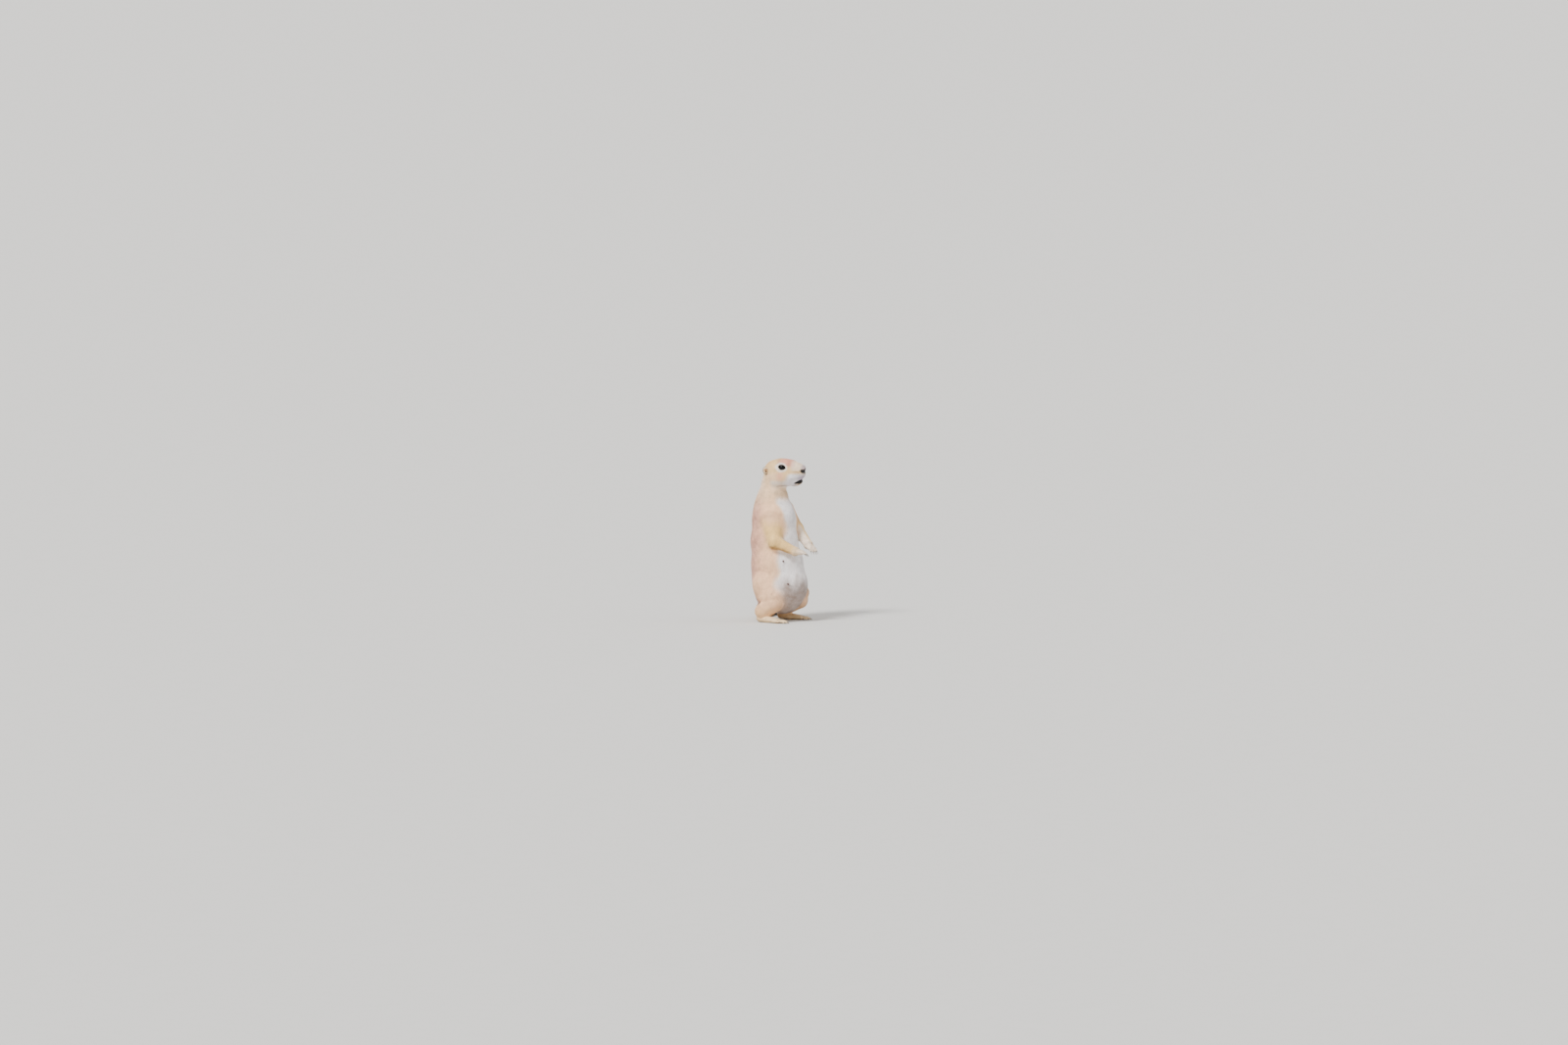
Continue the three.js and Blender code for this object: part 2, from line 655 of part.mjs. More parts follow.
/** Frames down an arm, turning smoothly through the elbow, and the forearm's direction. */
function armFrames(arm) {
  const shoulder = vec(arm.shoulder);
  const elbow = vec(arm.elbow);
  const wrist = vec(arm.wrist);
  const upper = elbow.clone().sub(shoulder).normalize();
  const lower = wrist.clone().sub(elbow).normalize();
  const bisector = upper.clone().add(lower).normalize();
  const count = 8;
  const run = (a, b, from, to) =>
    Array.from({ length: count }, (_, i) => {
      const t = i / (count - 1);
      return frameAt(a.clone().lerp(b, t), from.clone().lerp(to, t).normalize(), [0, 0, 1]);
    });
  const buried = shoulder.clone().addScaledVector(upper, -14);
  const upperEnd = elbow.clone().addScaledVector(bisector, -GAP / 2);
  const lowerStart = elbow.clone().addScaledVector(bisector, GAP / 2);
  return {
    upper: run(buried, upperEnd, upper, bisector),
    lower: run(lowerStart, wrist, bisector, lower),
    lowerDirection: lower,
  };
}

function armField(arm) {
  const { shoulder, elbow, wrist } = arm;
  return fieldOf([
    cone(shoulder, ARM_RADII.shoulder, elbow, ARM_RADII.elbow, 0),
    cone(elbow, ARM_RADII.elbow, wrist, ARM_RADII.wrist, 8),
  ]);
}

function upperArm(arm, trunkSeat) {
  const skin = castSkin(armField(arm), armFrames(arm).upper, 20, { roundStart: true });
  return solid(skin).subtract(trunkSeat);
}

function forearm(arm, trunkSeat) {
  return solid(castSkin(armField(arm), armFrames(arm).lower, 18, {})).subtract(trunkSeat);
}

/** Palm and four fingers, cut flat where they meet the forearm at the wrist. */
function hand(arm) {
  const wrist = vec(arm.wrist);
  const lower = armFrames(arm).lowerDirection;
  const start = wrist.clone().addScaledVector(lower, GAP);
  const reachOut = vec(arm.fingers).sub(wrist);
  const knuckles = wrist.clone().addScaledVector(reachOut, FINGERS.palm);
  const across = reachOut.clone().cross(vec([0, 0, 1])).normalize();
  const path = [start.clone().addScaledVector(lower, -2), start.clone().lerp(knuckles, 0.5), knuckles];
  let made = solid(
    ovalTube(
      path.map((p) => p.toArray()),
      [7.2, 7.8, 7.2],
      [7.4, 6.2, 4.4],
      8, 14, across.toArray(), false, true,
    ),
  );
  FINGERS.across.forEach((shift, i) => {
    const root = knuckles.clone().addScaledVector(across, shift).addScaledVector(reachOut, -0.05);
    const dir = reachOut.clone().normalize().addScaledVector(across, shift * FINGERS.fan);
    made = made.add(digit(root.toArray(), dir.toArray(), FINGERS.length[i], FINGERS.shape));
  });
  return made.subtract(halfSpace(start.toArray(), lower.clone().negate().toArray(), 60));
}

// Tail

function tail(seats) {
  const { width, height } = TAIL_HALF;
  const skin = ovalTube(TAIL_PATH, width, height, 22, 16, [0, 0, 1], true, true);
  return seats.reduce((rest, seat) => rest.subtract(seat), solid(skin).subtract(belowFloor));
}

// The animal

const COLOURS = {
  buff: 0xdcb894,
  cream: 0xe9d6bd,
  tan: 0xd0a479,
  pale: 0xe6dccb,
  eye: 0x120d0b,
};

const animal = new THREE.Group();

function addPart(name, made, colour, roughness = 0.9) {
  const geometry = made.isBufferGeometry ? made : geometryOf(made);
  const material = new THREE.MeshStandardMaterial({ color: colour, roughness, metalness: 0 });
  const mesh = new THREE.Mesh(geometry, material);
  mesh.name = name;
  animal.add(mesh);
}

const trunkSeat = solid(trunkSkin(GAP));
const headSeat = solid(headSkin(GAP));
addPart("torso", trunk(), COLOURS.cream);
addPart("neck", neckSkin(), COLOURS.cream);
addPart("head", head(), COLOURS.buff);

const tailSeats = [trunkSeat];
for (const [side, leg] of Object.entries(LEGS)) {
  const arm = ARMS[side];
  const thighSeat = thighBody(leg, GAP);
  const shankSeat = shankBody(leg, GAP);
  const shank = shankBody(leg).subtract(trunkSeat).subtract(thighSeat);
  addPart("ear_" + side, ear(leg.sign, headSeat), COLOURS.buff);
  addPart("eye_" + side, eyeBall(leg.sign, 0), COLOURS.eye, 0.1);
  addPart("thigh_" + side, thighBody(leg, 0).subtract(trunkSeat), COLOURS.buff);
  addPart("shank_" + side, shank, COLOURS.tan);
  addPart("foot_" + side, foot(leg.sign, [shankSeat, trunkSeat, thighSeat]), COLOURS.pale);
  addPart("upper_arm_" + side, upperArm(arm, trunkSeat), COLOURS.cream);
  addPart("forearm_" + side, forearm(arm, trunkSeat), COLOURS.buff);
  addPart("hand_" + side, hand(arm), COLOURS.pale);
  tailSeats.push(thighSeat, shankSeat);
}
addPart("tail", tail(tailSeats), COLOURS.tan);

// The origin lies on the floor under the middle of the animal's box.
const middle = new THREE.Box3().setFromObject(animal).getCenter(new THREE.Vector3());
animal.position.set(-middle.x, -middle.y, 0);
const model = new THREE.Group();
model.add(animal);

export default model;
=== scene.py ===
"""Looks of a life-size museum model of a prairie dog that stands upright on its hind legs.

Shapes are worked out in millimetres in the animal's own frame: floor at z = 0, the animal faces
-Y and its right side is -X. One skin is cast on a field of round cones that melt into one
another, and the coat of tufts grows on that skin.
"""

import logging
import math
from dataclasses import dataclass, field
from enum import Enum

import bmesh
import bpy
import numpy as np
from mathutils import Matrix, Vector

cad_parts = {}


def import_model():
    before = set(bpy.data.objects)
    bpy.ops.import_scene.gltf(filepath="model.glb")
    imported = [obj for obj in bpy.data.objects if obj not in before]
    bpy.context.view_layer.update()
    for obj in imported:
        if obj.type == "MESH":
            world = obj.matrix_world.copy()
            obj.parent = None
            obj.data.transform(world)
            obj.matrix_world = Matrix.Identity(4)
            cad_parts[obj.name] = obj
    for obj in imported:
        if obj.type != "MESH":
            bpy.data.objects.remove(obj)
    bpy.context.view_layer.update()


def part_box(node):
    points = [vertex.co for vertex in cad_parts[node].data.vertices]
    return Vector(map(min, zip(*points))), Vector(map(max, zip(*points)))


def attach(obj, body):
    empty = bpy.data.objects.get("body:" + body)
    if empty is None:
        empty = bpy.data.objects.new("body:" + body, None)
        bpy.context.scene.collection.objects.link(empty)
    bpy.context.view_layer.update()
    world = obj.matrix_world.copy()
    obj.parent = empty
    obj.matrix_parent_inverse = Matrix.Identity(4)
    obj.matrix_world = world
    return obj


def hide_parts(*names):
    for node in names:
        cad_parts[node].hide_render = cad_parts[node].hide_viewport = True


LOG = logging.getLogger("prairie_dog")
MM = 0.001
BODY = "root"
Point = tuple[float, float, float]

HEAD_AT = np.array([0.0, 8.0, 250.0])  # middle of the skull
HEAD_YAW = math.radians(8)
EYE_AT = (12.8, -18.2, 9.6)
EYE_AIM = (0.94, -0.28, 0.2)
EYE_RADIUS = 7.0
LID_BALL = 8.5  # the bulge of the head that the lids lie on
TRUNK_AXIS = 8.0  # y of the line that angles round the trunk are taken from
THROAT = 215.0  # every opening of the head lies above this height
SIDES = {"r": -1, "l": 1}
UP = np.array([0.0, 0.0, 1.0])
COAT_LAYER = "coat"  # the colour attribute that skin, ears and tufts share


class Region(Enum):
    """Parts of the animal that wear their own kind of coat."""

    TRUNK = "trunk"
    HEAD = "head"
    ARM = "arm"
    HAND = "hand"
    THIGH = "thigh"
    SHANK = "shank"
    FOOT = "foot"
    TAIL = "tail"
    EAR = "ear"


class Slot(Enum):
    """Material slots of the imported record."""

    HEAD = "coat_head"
    BODY = "coat_body"
    LIMB = "coat_limb"
    TAIL = "coat_tail"
    PAW = "paw"
    EYE = "eye"


# Plain helpers for points, colours and meshes


def unit(v: np.ndarray) -> np.ndarray:
    """Rows of v scaled to length one."""
    return v / np.maximum(np.linalg.norm(v, axis=-1, keepdims=True), 1e-9)


def step(low: float, high: float, x: np.ndarray) -> np.ndarray:
    """Smooth step of x: 0 below low, 1 above high, 3t^2 - 2t^3 between them."""
    t = np.clip((x - low) / (high - low), 0.0, 1.0)
    return t * t * (3.0 - 2.0 * t)


def bump(centre: float, half: float, x: np.ndarray) -> np.ndarray:
    """Bell of x about centre: exp(-((x - centre) / half)^2)."""
    return np.exp(-(((x - centre) / half) ** 2))


def linear(code: str) -> np.ndarray:
    """Linear RGB of an sRGB hex colour: ((c + 0.055) / 1.055)^2.4, or c / 12.92 near black."""
    c = np.array([int(code[i : i + 2], 16) for i in (1, 3, 5)]) / 255.0
    return np.where(c <= 0.04045, c / 12.92, ((c + 0.055) / 1.055) ** 2.4)


def rgba(code: str) -> tuple[float, float, float, float]:
    """The same colour with full alpha, as shader sockets take it."""
    r, g, b = linear(code)
    return (float(r), float(g), float(b), 1.0)


def laid_over(base: str, zones: tuple[tuple[str, np.ndarray], ...], count: int) -> np.ndarray:
    """Linear colours of "count" points: the base, and each zone's colour laid on by its mask.

    Args:
        base: sRGB hex under everything.
        zones: sRGB hex and mask of each zone.
        count: number of points.

    Returns:
        (count, 3) linear colours.
    """
    c = np.tile(linear(base), (count, 1))
    for code, mask in zones:
        c = c + (linear(code) - c) * mask[:, None]
    return c


def oval(h: np.ndarray, centre: Point, half: Point) -> np.ndarray:
    """Distance to an oval on each side of the head, in its own half widths: 1 on its edge.

    Args:
        h: points of the head's frame.
        centre: its middle on the left side.
        half: its half widths.

    Returns:
        One distance for each point.
    """
    x, y, z = np.abs(h[:, 0]) - centre[0], h[:, 1] - centre[1], h[:, 2] - centre[2]
    return np.sqrt((x / half[0]) ** 2 + (y / half[1]) ** 2 + (z / half[2]) ** 2)


def from_front(p: np.ndarray) -> np.ndarray:
    """Angle round the trunk in degrees, 0 in front and 180 behind, alike on both sides."""
    return np.abs(np.degrees(np.arctan2(p[:, 0], -(p[:, 1] - TRUNK_AXIS))))


def toward(azimuth: float, elevation: float) -> Vector:
    """Direction from the animal: azimuth 0 in front of it, elevation above the floor."""
    a, e = math.radians(azimuth), math.radians(elevation)
    return Vector((math.sin(a) * math.cos(e), -math.cos(a) * math.cos(e), math.sin(e)))


def head_to_animal(p: np.ndarray) -> np.ndarray:
    """Head frame to animal frame: turned by the yaw about z, then set on the skull's middle.

    Args:
        p: points of the head's frame.

    Returns:
        The same points in the animal's frame.
    """
    c, s = math.cos(HEAD_YAW), math.sin(HEAD_YAW)
    x, y, z = np.moveaxis(np.asarray(p, float), -1, 0)
    return np.stack([c * x - s * y, s * x + c * y, z], axis=-1) + HEAD_AT


def head_direction(d: np.ndarray) -> np.ndarray:
    """A direction of the head frame in the animal frame."""
    return head_to_animal(d) - HEAD_AT


def animal_to_head(p: np.ndarray) -> np.ndarray:
    """Animal frame to head frame, the reverse of head_to_animal.

    Args:
        p: points of the animal's frame.

    Returns:
        The same points in the head's frame.
    """
    c, s = math.cos(HEAD_YAW), math.sin(HEAD_YAW)
    x, y, z = np.moveaxis(p - HEAD_AT.astype(p.dtype), -1, 0)
    return np.stack([c * x + s * y, c * y - s * x, z], axis=-1)


def standing(out: Point, up: Point = (0.0, 0.0, 1.0)) -> np.ndarray:
    """Rows across, up and out of an upright frame that looks along "out".

    Args:
        out: direction it looks in.
        up: direction it leans to.

    Returns:
        (3, 3) directions of length one.
    """
    z = unit(np.array(out, float))
    x = unit(np.cross(np.array(up, float), z))
    return np.stack([x, np.cross(z, x), z])


def flip(p: Point, side: int) -> Point:
    """The point on the left (side 1) or mirrored to the right (side -1)."""
    return (p[0] * side, p[1], p[2])


def shift_to_frame() -> np.ndarray:
    """Millimetres from the animal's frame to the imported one, read off the right eye's ball."""
    low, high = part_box("eye_r")
    packed = np.array((low + high) / 2) / MM
    return packed - head_to_animal(np.array(flip(EYE_AT, -1)))


def make_mesh(
    name: str,
    points: np.ndarray,
    faces: np.ndarray | list,
    shift: np.ndarray,
    material: bpy.types.Material,
    slot: Slot,
) -> bpy.types.Object:
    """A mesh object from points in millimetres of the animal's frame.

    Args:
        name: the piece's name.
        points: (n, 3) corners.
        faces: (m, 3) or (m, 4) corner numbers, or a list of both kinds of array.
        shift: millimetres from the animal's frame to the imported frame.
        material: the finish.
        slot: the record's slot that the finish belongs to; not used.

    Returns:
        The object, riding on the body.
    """
    groups = faces if isinstance(faces, list) else [faces]
    loops = np.concatenate([g.reshape(-1) for g in groups]).astype(np.int32)
    totals = np.concatenate([np.full(len(g), g.shape[1]) for g in groups]).astype(np.int32)
    starts = np.concatenate([[0], np.cumsum(totals)[:-1]]).astype(np.int32)
    mesh = bpy.data.meshes.new(name)
    mesh.vertices.add(len(points))
    mesh.vertices.foreach_set("co", ((points + shift) * MM).astype(np.float32).reshape(-1))
    mesh.loops.add(len(loops))
    mesh.loops.foreach_set("vertex_index", loops)
    mesh.polygons.add(len(totals))
    mesh.polygons.foreach_set("loop_start", starts)
    mesh.polygons.foreach_set("loop_total", totals)
    mesh.update(calc_edges=True)
    mesh.validate()
    mesh.polygons.foreach_set("use_smooth", np.ones(len(mesh.polygons), bool))
    piece = bpy.data.objects.new(name, mesh)
    bpy.context.scene.collection.objects.link(piece)
    mesh.materials.append(material)
    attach(piece, BODY)
    LOG.info("%s: %d points, %d faces", name, len(points), len(totals))
    return piece


def soften(piece: bpy.types.Object, outward: np.ndarray, share: float) -> None:
    """Leans each point's shading direction to a given one, so that tufts take light as one pelt.

    Args:
        piece: the object.
        outward: (n, 3) directions of the skin under each point.
        share: how far the directions lean, from 0 to 1.
    """
    own = np.empty(len(piece.data.vertices) * 3, np.float32)
    piece.data.vertex_normals.foreach_get("vector", own)
    mixed = unit(own.reshape(-1, 3) * (1 - share) + outward * share)
    piece.data.normals_split_custom_set_from_vertices(mixed.tolist())


def paint(piece: bpy.types.Object, colours: np.ndarray) -> None:
    """Stores one linear colour per point as a float colour attribute.

    Args:
        piece: the object.
        colours: (n, 3) linear colours.
    """
    layer = piece.data.color_attributes.new(COAT_LAYER, "FLOAT_COLOR", "POINT")
    values = np.ones((len(colours), 4), np.float32)
    values[:, :3] = colours
    layer.data.foreach_set("color", values.reshape(-1))


def grid_faces(rows: int, columns: int, wrap_rows: bool, wrap_columns: bool) -> np.ndarray:
    """Quads of a grid whose point (i, j) has number i * columns + j.

    Args:
        rows: number of rows.
        columns: points in each row.
        wrap_rows: whether the last row joins the first.
        wrap_columns: whether each row is a ring.

    Returns:
        (m, 4) corner numbers.
    """
    i = np.arange(rows if wrap_rows else rows - 1)
    j = np.arange(columns if wrap_columns else columns - 1)
    a, b = np.meshgrid(i, j, indexing="ij")
    a2, b2 = (a + 1) % rows, (b + 1) % columns
    quads = [a * columns + b, a2 * columns + b, a2 * columns + b2, a * columns + b2]
    return np.stack([q.reshape(-1) for q in quads], axis=-1)


def tube(
    path: np.ndarray, widths: np.ndarray, heights: np.ndarray, up: np.ndarray, sides: int
) -> tuple[np.ndarray, np.ndarray]:
    """An oval profile carried along a path: middle + w cos(a) side + h sin(a) over.

    Args:
        path: (n, 3) middles; both ends shrink to nearly a point if their widths do.
        widths: n half widths along "side".
        heights: n half heights along "over".
        up: the direction that "over" leans to.
        sides: corners of the profile.

    Returns:
        Points and quads, with the faces outward.
    """
    along = unit(np.gradient(path, axis=0))
    side = unit(np.cross(along, up))
    over = np.cross(side, along)
    a = np.linspace(0, 2 * np.pi, sides, endpoint=False)
    rings = (
        path[:, None]
        + (widths[:, None] * np.cos(a))[..., None] * side[:, None]
        + (heights[:, None] * np.sin(a))[..., None] * over[:, None]
    )
    quads = grid_faces(len(path), sides, False, True)[:, ::-1]
    return rings.reshape(-1, 3), quads


def join(parts: list[tuple[np.ndarray, np.ndarray]]) -> tuple[np.ndarray, np.ndarray]:
    """Several point and face arrays as one pair, with the corner numbers moved up.

    Args:
        parts: points and faces of each.

    Returns:
        Points and faces of all of them.
    """
    offsets = np.cumsum([0] + [len(p) for p, _ in parts[:-1]])
    faces = np.concatenate([f + o for (_, f), o in zip(parts, offsets)])
    return np.concatenate([p for p, _ in parts]), faces


# The flesh


@dataclass(frozen=True)
class Cone:
    """Two balls and the taper between them; "wide" draws each ball out along x."""

    start: Point
    r1: float
    end: Point
    r2: float
    melt: float = 0.0
    wide1: float = 1.0
    wide2: float | None = None

    def flipped(self) -> "Cone":
        """The same cone on the other side of the body."""
        return Cone(flip(self.start, -1), self.r1, flip(self.end, -1), self.r2, self.melt,
                    self.wide1, self.wide2)

    def distance(self, p: np.ndarray, inset: float) -> np.ndarray:
        """Signed distance of points to the cone, its balls smaller by the inset.

        Args:
            p: points of the cone's frame.
            inset: how much smaller its balls are.

        Returns:
            Signed distances, negative inside.
        """
        wide2 = self.wide1 if self.wide2 is None else self.wide2
        q = p - np.array(self.start, p.dtype)
        b = np.array(self.end, p.dtype) - np.array(self.start, p.dtype)
        bb = float(b @ b)
        slope = self.r1 - self.r2
        qx = q[..., 0] / ((self.wide1 + wide2) / 2)
        qq = qx * qx + q[..., 1] ** 2 + q[..., 2] ** 2
        if bb < 1e-6:
            t = np.zeros_like(qx)
        else:
            along = qx * b[0] + q[..., 1] * b[1] + q[..., 2] * b[2]
            cross = np.sqrt(np.maximum(qq * bb - along * along, 0))
            flank = math.sqrt(max(1e-6, bb - slope * slope))
            t = np.clip((along - cross * slope / flank) / bb, 0, 1)
        wide = self.wide1 + (wide2 - self.wide1) * t
        d = q - t[..., None] * b
        return np.sqrt((d[..., 0] / wide) ** 2 + d[..., 1] ** 2 + d[..., 2] ** 2) - (
            self.r1 - slope * t - inset
        )

    def box(self, margin: float) -> tuple[np.ndarray, np.ndarray]:
        """Lowest and highest corner of the cone with a margin round it."""
        a, b = np.array(self.start), np.array(self.end)
        r = max(self.r1, self.r2) * max(1.0, self.wide1, self.wide2 or 1.0) + margin
        return np.minimum(a, b) - r, np.maximum(a, b) + r


def melted(a: np.ndarray, b: np.ndarray, melt: float) -> np.ndarray:
    """Smooth union of two distances: min(a, b) - h^2 melt / 4, h = 1 - |a - b| / melt, at least 0.

    Args:
        a: distances to one form.
        b: distances to the other.
        melt: gap across which they flow together.

    Returns:
        Distances to both.
    """
    if melt <= 0:
        return np.minimum(a, b)
    h = np.maximum(melt - np.abs(a - b), 0) / melt
    return np.minimum(a, b) - h * h * melt * 0.25


def bent(rows: np.ndarray, steps: int) -> np.ndarray:
    """Catmull-Rom curve through the rows, each gap between two of them in "steps" parts.

    Args:
        rows: what the curve passes through.
        steps: parts of each gap.

    Returns:
        The rows along the curve, ends included.
    """
    ends = np.vstack([2 * rows[0] - rows[1], rows, 2 * rows[-1] - rows[-2]])
    t = np.arange(steps)[:, None] / steps
    made = []
    for a, b, c, d in zip(ends, ends[1:], ends[2:], ends[3:]):
        square, cube = 2 * a - 5 * b + 4 * c - d, 3 * b - a - 3 * c + d
        made.append(0.5 * (2 * b + (c - a) * t + square * t**2 + cube * t**3))
    return np.vstack([*made, rows[-1:]])


@dataclass(frozen=True)
class Form:
    """Cones of one region, with how they join the rest and how their hair lies.

    Attributes:
        region: which coat they wear.
        cones: the balls and tapers, each melting into those before it.
        melt: how far the whole form flows into the forms before it.
        depth: how deep the skin lies under the outside of the coat.
        comb: added to the cones' own directions to give the lie of the hair.
        with_cones: 1 if the hair runs from a cone's start to its end, -1 against it, 0 neither.
        in_head: whether the cones are in the head's frame.
    """

    region: Region
    cones: tuple[Cone, ...]
    melt: float
    depth: float
    comb: Point
    with_cones: float = 1.0
    in_head: bool = False

    def distance(self, p: np.ndarray) -> np.ndarray:
        """Signed distance of points of the animal's frame to the form.

        Args:
            p: points of the animal's frame.

        Returns:
            Signed distances, negative inside.
        """
        q = animal_to_head(p) if self.in_head else p
        d = np.full(q.shape[:-1], 1e3, q.dtype)
        for c in self.cones:
            d = melted(d, c.distance(q, self.depth), c.melt)
        return d

    def lie(self, p: np.ndarray) -> np.ndarray:
        """Direction of the hair: the directions of the nearest cones, plus the comb.

        Args:
            p: points of the animal's frame.

        Returns:
            Directions, not yet of length one.
        """
        q = animal_to_head(p) if self.in_head else p
        total = np.zeros_like(q)
        if self.with_cones:
            d = np.stack([c.distance(q, self.depth) for c in self.cones])
            w = np.exp(-(d - d.min(axis=0)) / 4.0)
            for c, weight in zip(self.cones, w / w.sum(axis=0)):
                axis = np.array(c.end, q.dtype) - np.array(c.start, q.dtype)
                length = float(np.linalg.norm(axis))
                if length > 1e-6:
                    total += weight[..., None] * axis * (self.with_cones / length)
        total = total + np.array(self.comb, q.dtype)
        return head_direction(total) if self.in_head else total


def both(*cones: Cone) -> tuple[Cone, ...]:
    """Cones of the left side, each followed by its mirror on the right."""
    return tuple(c for cone in cones for c in (cone, cone.flipped()))


TRUNK = (
    Cone((0, 12.7, 203), 26.4, (0, 13, 188), 31.5, 0, 0.9, 0.88),
    Cone((0, 13, 188), 31.5, (0, 10, 170), 37, 8, 0.88, 0.88),
    Cone((0, 10, 170), 37, (0, 9.5, 135), 39.5, 8, 0.88, 0.93),
    Cone((0, 9.5, 135), 39.5, (0, 3.5, 95), 43.8, 8, 0.93, 0.93),
    Cone((0, 3.5, 95), 43.8, (0, -5, 62), 44, 8, 0.93, 0.88),
    Cone((0, -5, 62), 44, (0, -6, 50), 38, 8, 0.88, 0.92),
    Cone((0, 10, 66), 36, (0, 15, 47), 27, 12, 1, 1.05),
    Cone((0, 10, 234), 21.5, (0, 12.7, 203), 26.4, 8, 0.94, 0.9),
)

HEAD = (
    Cone((0, -0.5, 2.2), 18.8, (0, -8, 1.5), 19.4, 0, 1.0, 1.04),
    Cone((0, -7, -0.6), 19.7, (0, -13, 1.5), 20.6, 10, 1.12, 1.04),
    Cone((0, -14, 2.8), 20.4, (0, -28, 5), 17.9, 6, 0.84),
    Cone((0, -24, 4), 16.2, (0, -45, 6.2), 9.8, 7, 0.98),
    Cone((0, -5, -9), 15, (0, -38, -12.2), 8.8, 8, 0.98, 1),
    *both(Cone((10.5, -6, -9.5), 14, (11.5, -15, -8.5), 13, 6)),
    *both(Cone((8.5, -27, -5.5), 10, (5, -45.6, -1.2), 7.7, 5)),
    *both(Cone((11.6, -16.5, 16), 7.3, (9, -28, 15.6), 5.6, 5)),
    *both(Cone(EYE_AT, LID_BALL, EYE_AT, LID_BALL, 3)),
    Cone((0, -44, -12.4), 6, (0, -36, -14.3), 7.4, 4, 1.15),
    Cone((0, -51.2, 9.2), 4.6, (0, -45, 11.6), 5.2, 3, 1.25),
)


@dataclass(frozen=True)
class Paw:
    """Digits at the end of a limb.

    Attributes:
        roots: where each digit leaves the paw.
        aims: its direction.
        lengths: its length without the claw.
        radius: its half thickness.
        drop: how far its end bends down.
        claw: the claw's length.
    """

    roots: tuple[Point, ...]
    aims: tuple[Point, ...]
    lengths: tuple[float, ...]
    radius: float
    drop: float
    claw: float

    def digit(self, i: int) -> tuple[np.ndarray, np.ndarray, np.ndarray, np.ndarray]:
        """Back, knuckle, end and forward direction of digit i.

        Args:
            i: number of the digit.

        Returns:
            Four points or directions.
        """
        root, aim = np.array(self.roots[i], float), unit(np.array(self.aims[i], float))
        back = root - aim * self.radius * 2.2
        knuckle = root + aim * self.lengths[i] * 0.5 + np.array([0, 0, 0.35 * self.radius])
        end = root + aim * self.lengths[i] - np.array([0, 0, self.drop])
        return back, knuckle, end, unit(end - knuckle)

    def cones(self) -> tuple[Cone, ...]:
        """Each digit as two tapers, up to the knuckle and down to the tip."""
        made = []
        for i in range(len(self.roots)):
            back, knuckle, end, forward = self.digit(i)
            pad = end - forward * self.radius * 0.7
            made.append(Cone(tuple(back), self.radius, tuple(knuckle), self.radius, 0.8))
            made.append(Cone(tuple(knuckle), self.radius, tuple(pad), self.radius * 0.82, 0.5))
        return tuple(made)


@dataclass(frozen=True)
class Arm:
    """Joints of one arm, in millimetres."""

    shoulder: Point
    elbow: Point
    wrist: Point
    fingers: Point

    def reach(self) -> np.ndarray:
        """From the wrist to the finger tips."""
        return np.array(self.fingers) - np.array(self.wrist)

    def knuckles(self) -> np.ndarray:
        """The end of the palm, 0.55 of the way from the wrist to the finger tips."""
        return np.array(self.wrist) + 0.55 * self.reach()

    def across(self) -> np.ndarray:
        """Direction across the palm."""
        return unit(np.cross(self.reach(), UP))

    def paw(self) -> Paw:
        """The four fingers."""
        reach = self.reach()
        shifts = (-5.4, -1.9, 1.8, 5.2)
        roots = tuple(tuple(self.knuckles() + self.across() * s - 0.05 * reach) for s in shifts)
        aims = tuple(tuple(unit(reach) + self.across() * s * 0.03) for s in shifts)
        return Paw(roots, aims, (7.4, 9.0, 9.0, 7.2), 2.25, 1.5, 7.0)

    def palm(self) -> tuple[Cone, ...]:
        """The palm as two flat cones side by side."""
        wrist, knuckles, across = np.array(self.wrist), self.knuckles(), self.across()
        return tuple(
            Cone(tuple(wrist + across * s * 1.2), 6.4, tuple(knuckles + across * s * 3.4), 4.1, 3)
            for s in (-1, 1)
        )


ARMS = (
    Arm((-21, 2, 176), (-36.5, -13, 137), (-24, -44, 121.5), (-15, -64, 117.5)),
    Arm((20, 3, 186), (35, -14, 154), (22.5, -43.5, 129), (18, -58, 119)),
)


def foot_paw(side: int) -> Paw:
    """The five toes of one hind foot.

    Args:
        side: 1 for the left, -1 for the right.

    Returns:
        The digits of that foot.
    """
    across = (-6.6, -3.4, 0.0, 3.4, 6.4)
    leads = (6.0, 1.2, 0.0, 1.4, 7.0)
    roots = tuple(flip((38 + a, -25 + lead, 3.1), side) for a, lead in zip(across, leads))
    aims = tuple(flip((0.06 + a * 0.022, -1, -0.02), side) for a in across)
    return Paw(roots, aims, (9.0, 12.0, 13.0, 12.0, 8.5), 2.25, 0.7, 6.2)


FOOT = (
    Cone((35, 17, 6.6), 6.0, (36, 0, 5.4), 5.6, 3, 1.15, 1.35),
    Cone((36, 0, 5.4), 5.6, (38, -20, 3.9), 4.1, 3, 1.35, 2.1),
)

# Knee and ankle of each leg, given for the left side: the right knee is drawn back.
LEGS = {-1: ((31, -11, 46), (33, -10, 33)), 1: ((31.5, -22, 47), (33, -20, 34))}

# Middles of the tail from root to end, each with the radius there.
TAIL = (
    (2, 22, 31, 16), (8, 35, 17.5, 12.5), (22, 46, 10.5, 9.8),
    (41, 54, 8.5, 8.7), (62, 56, 7.8, 8.4), (81, 51.5, 6.8, 5.2),
)


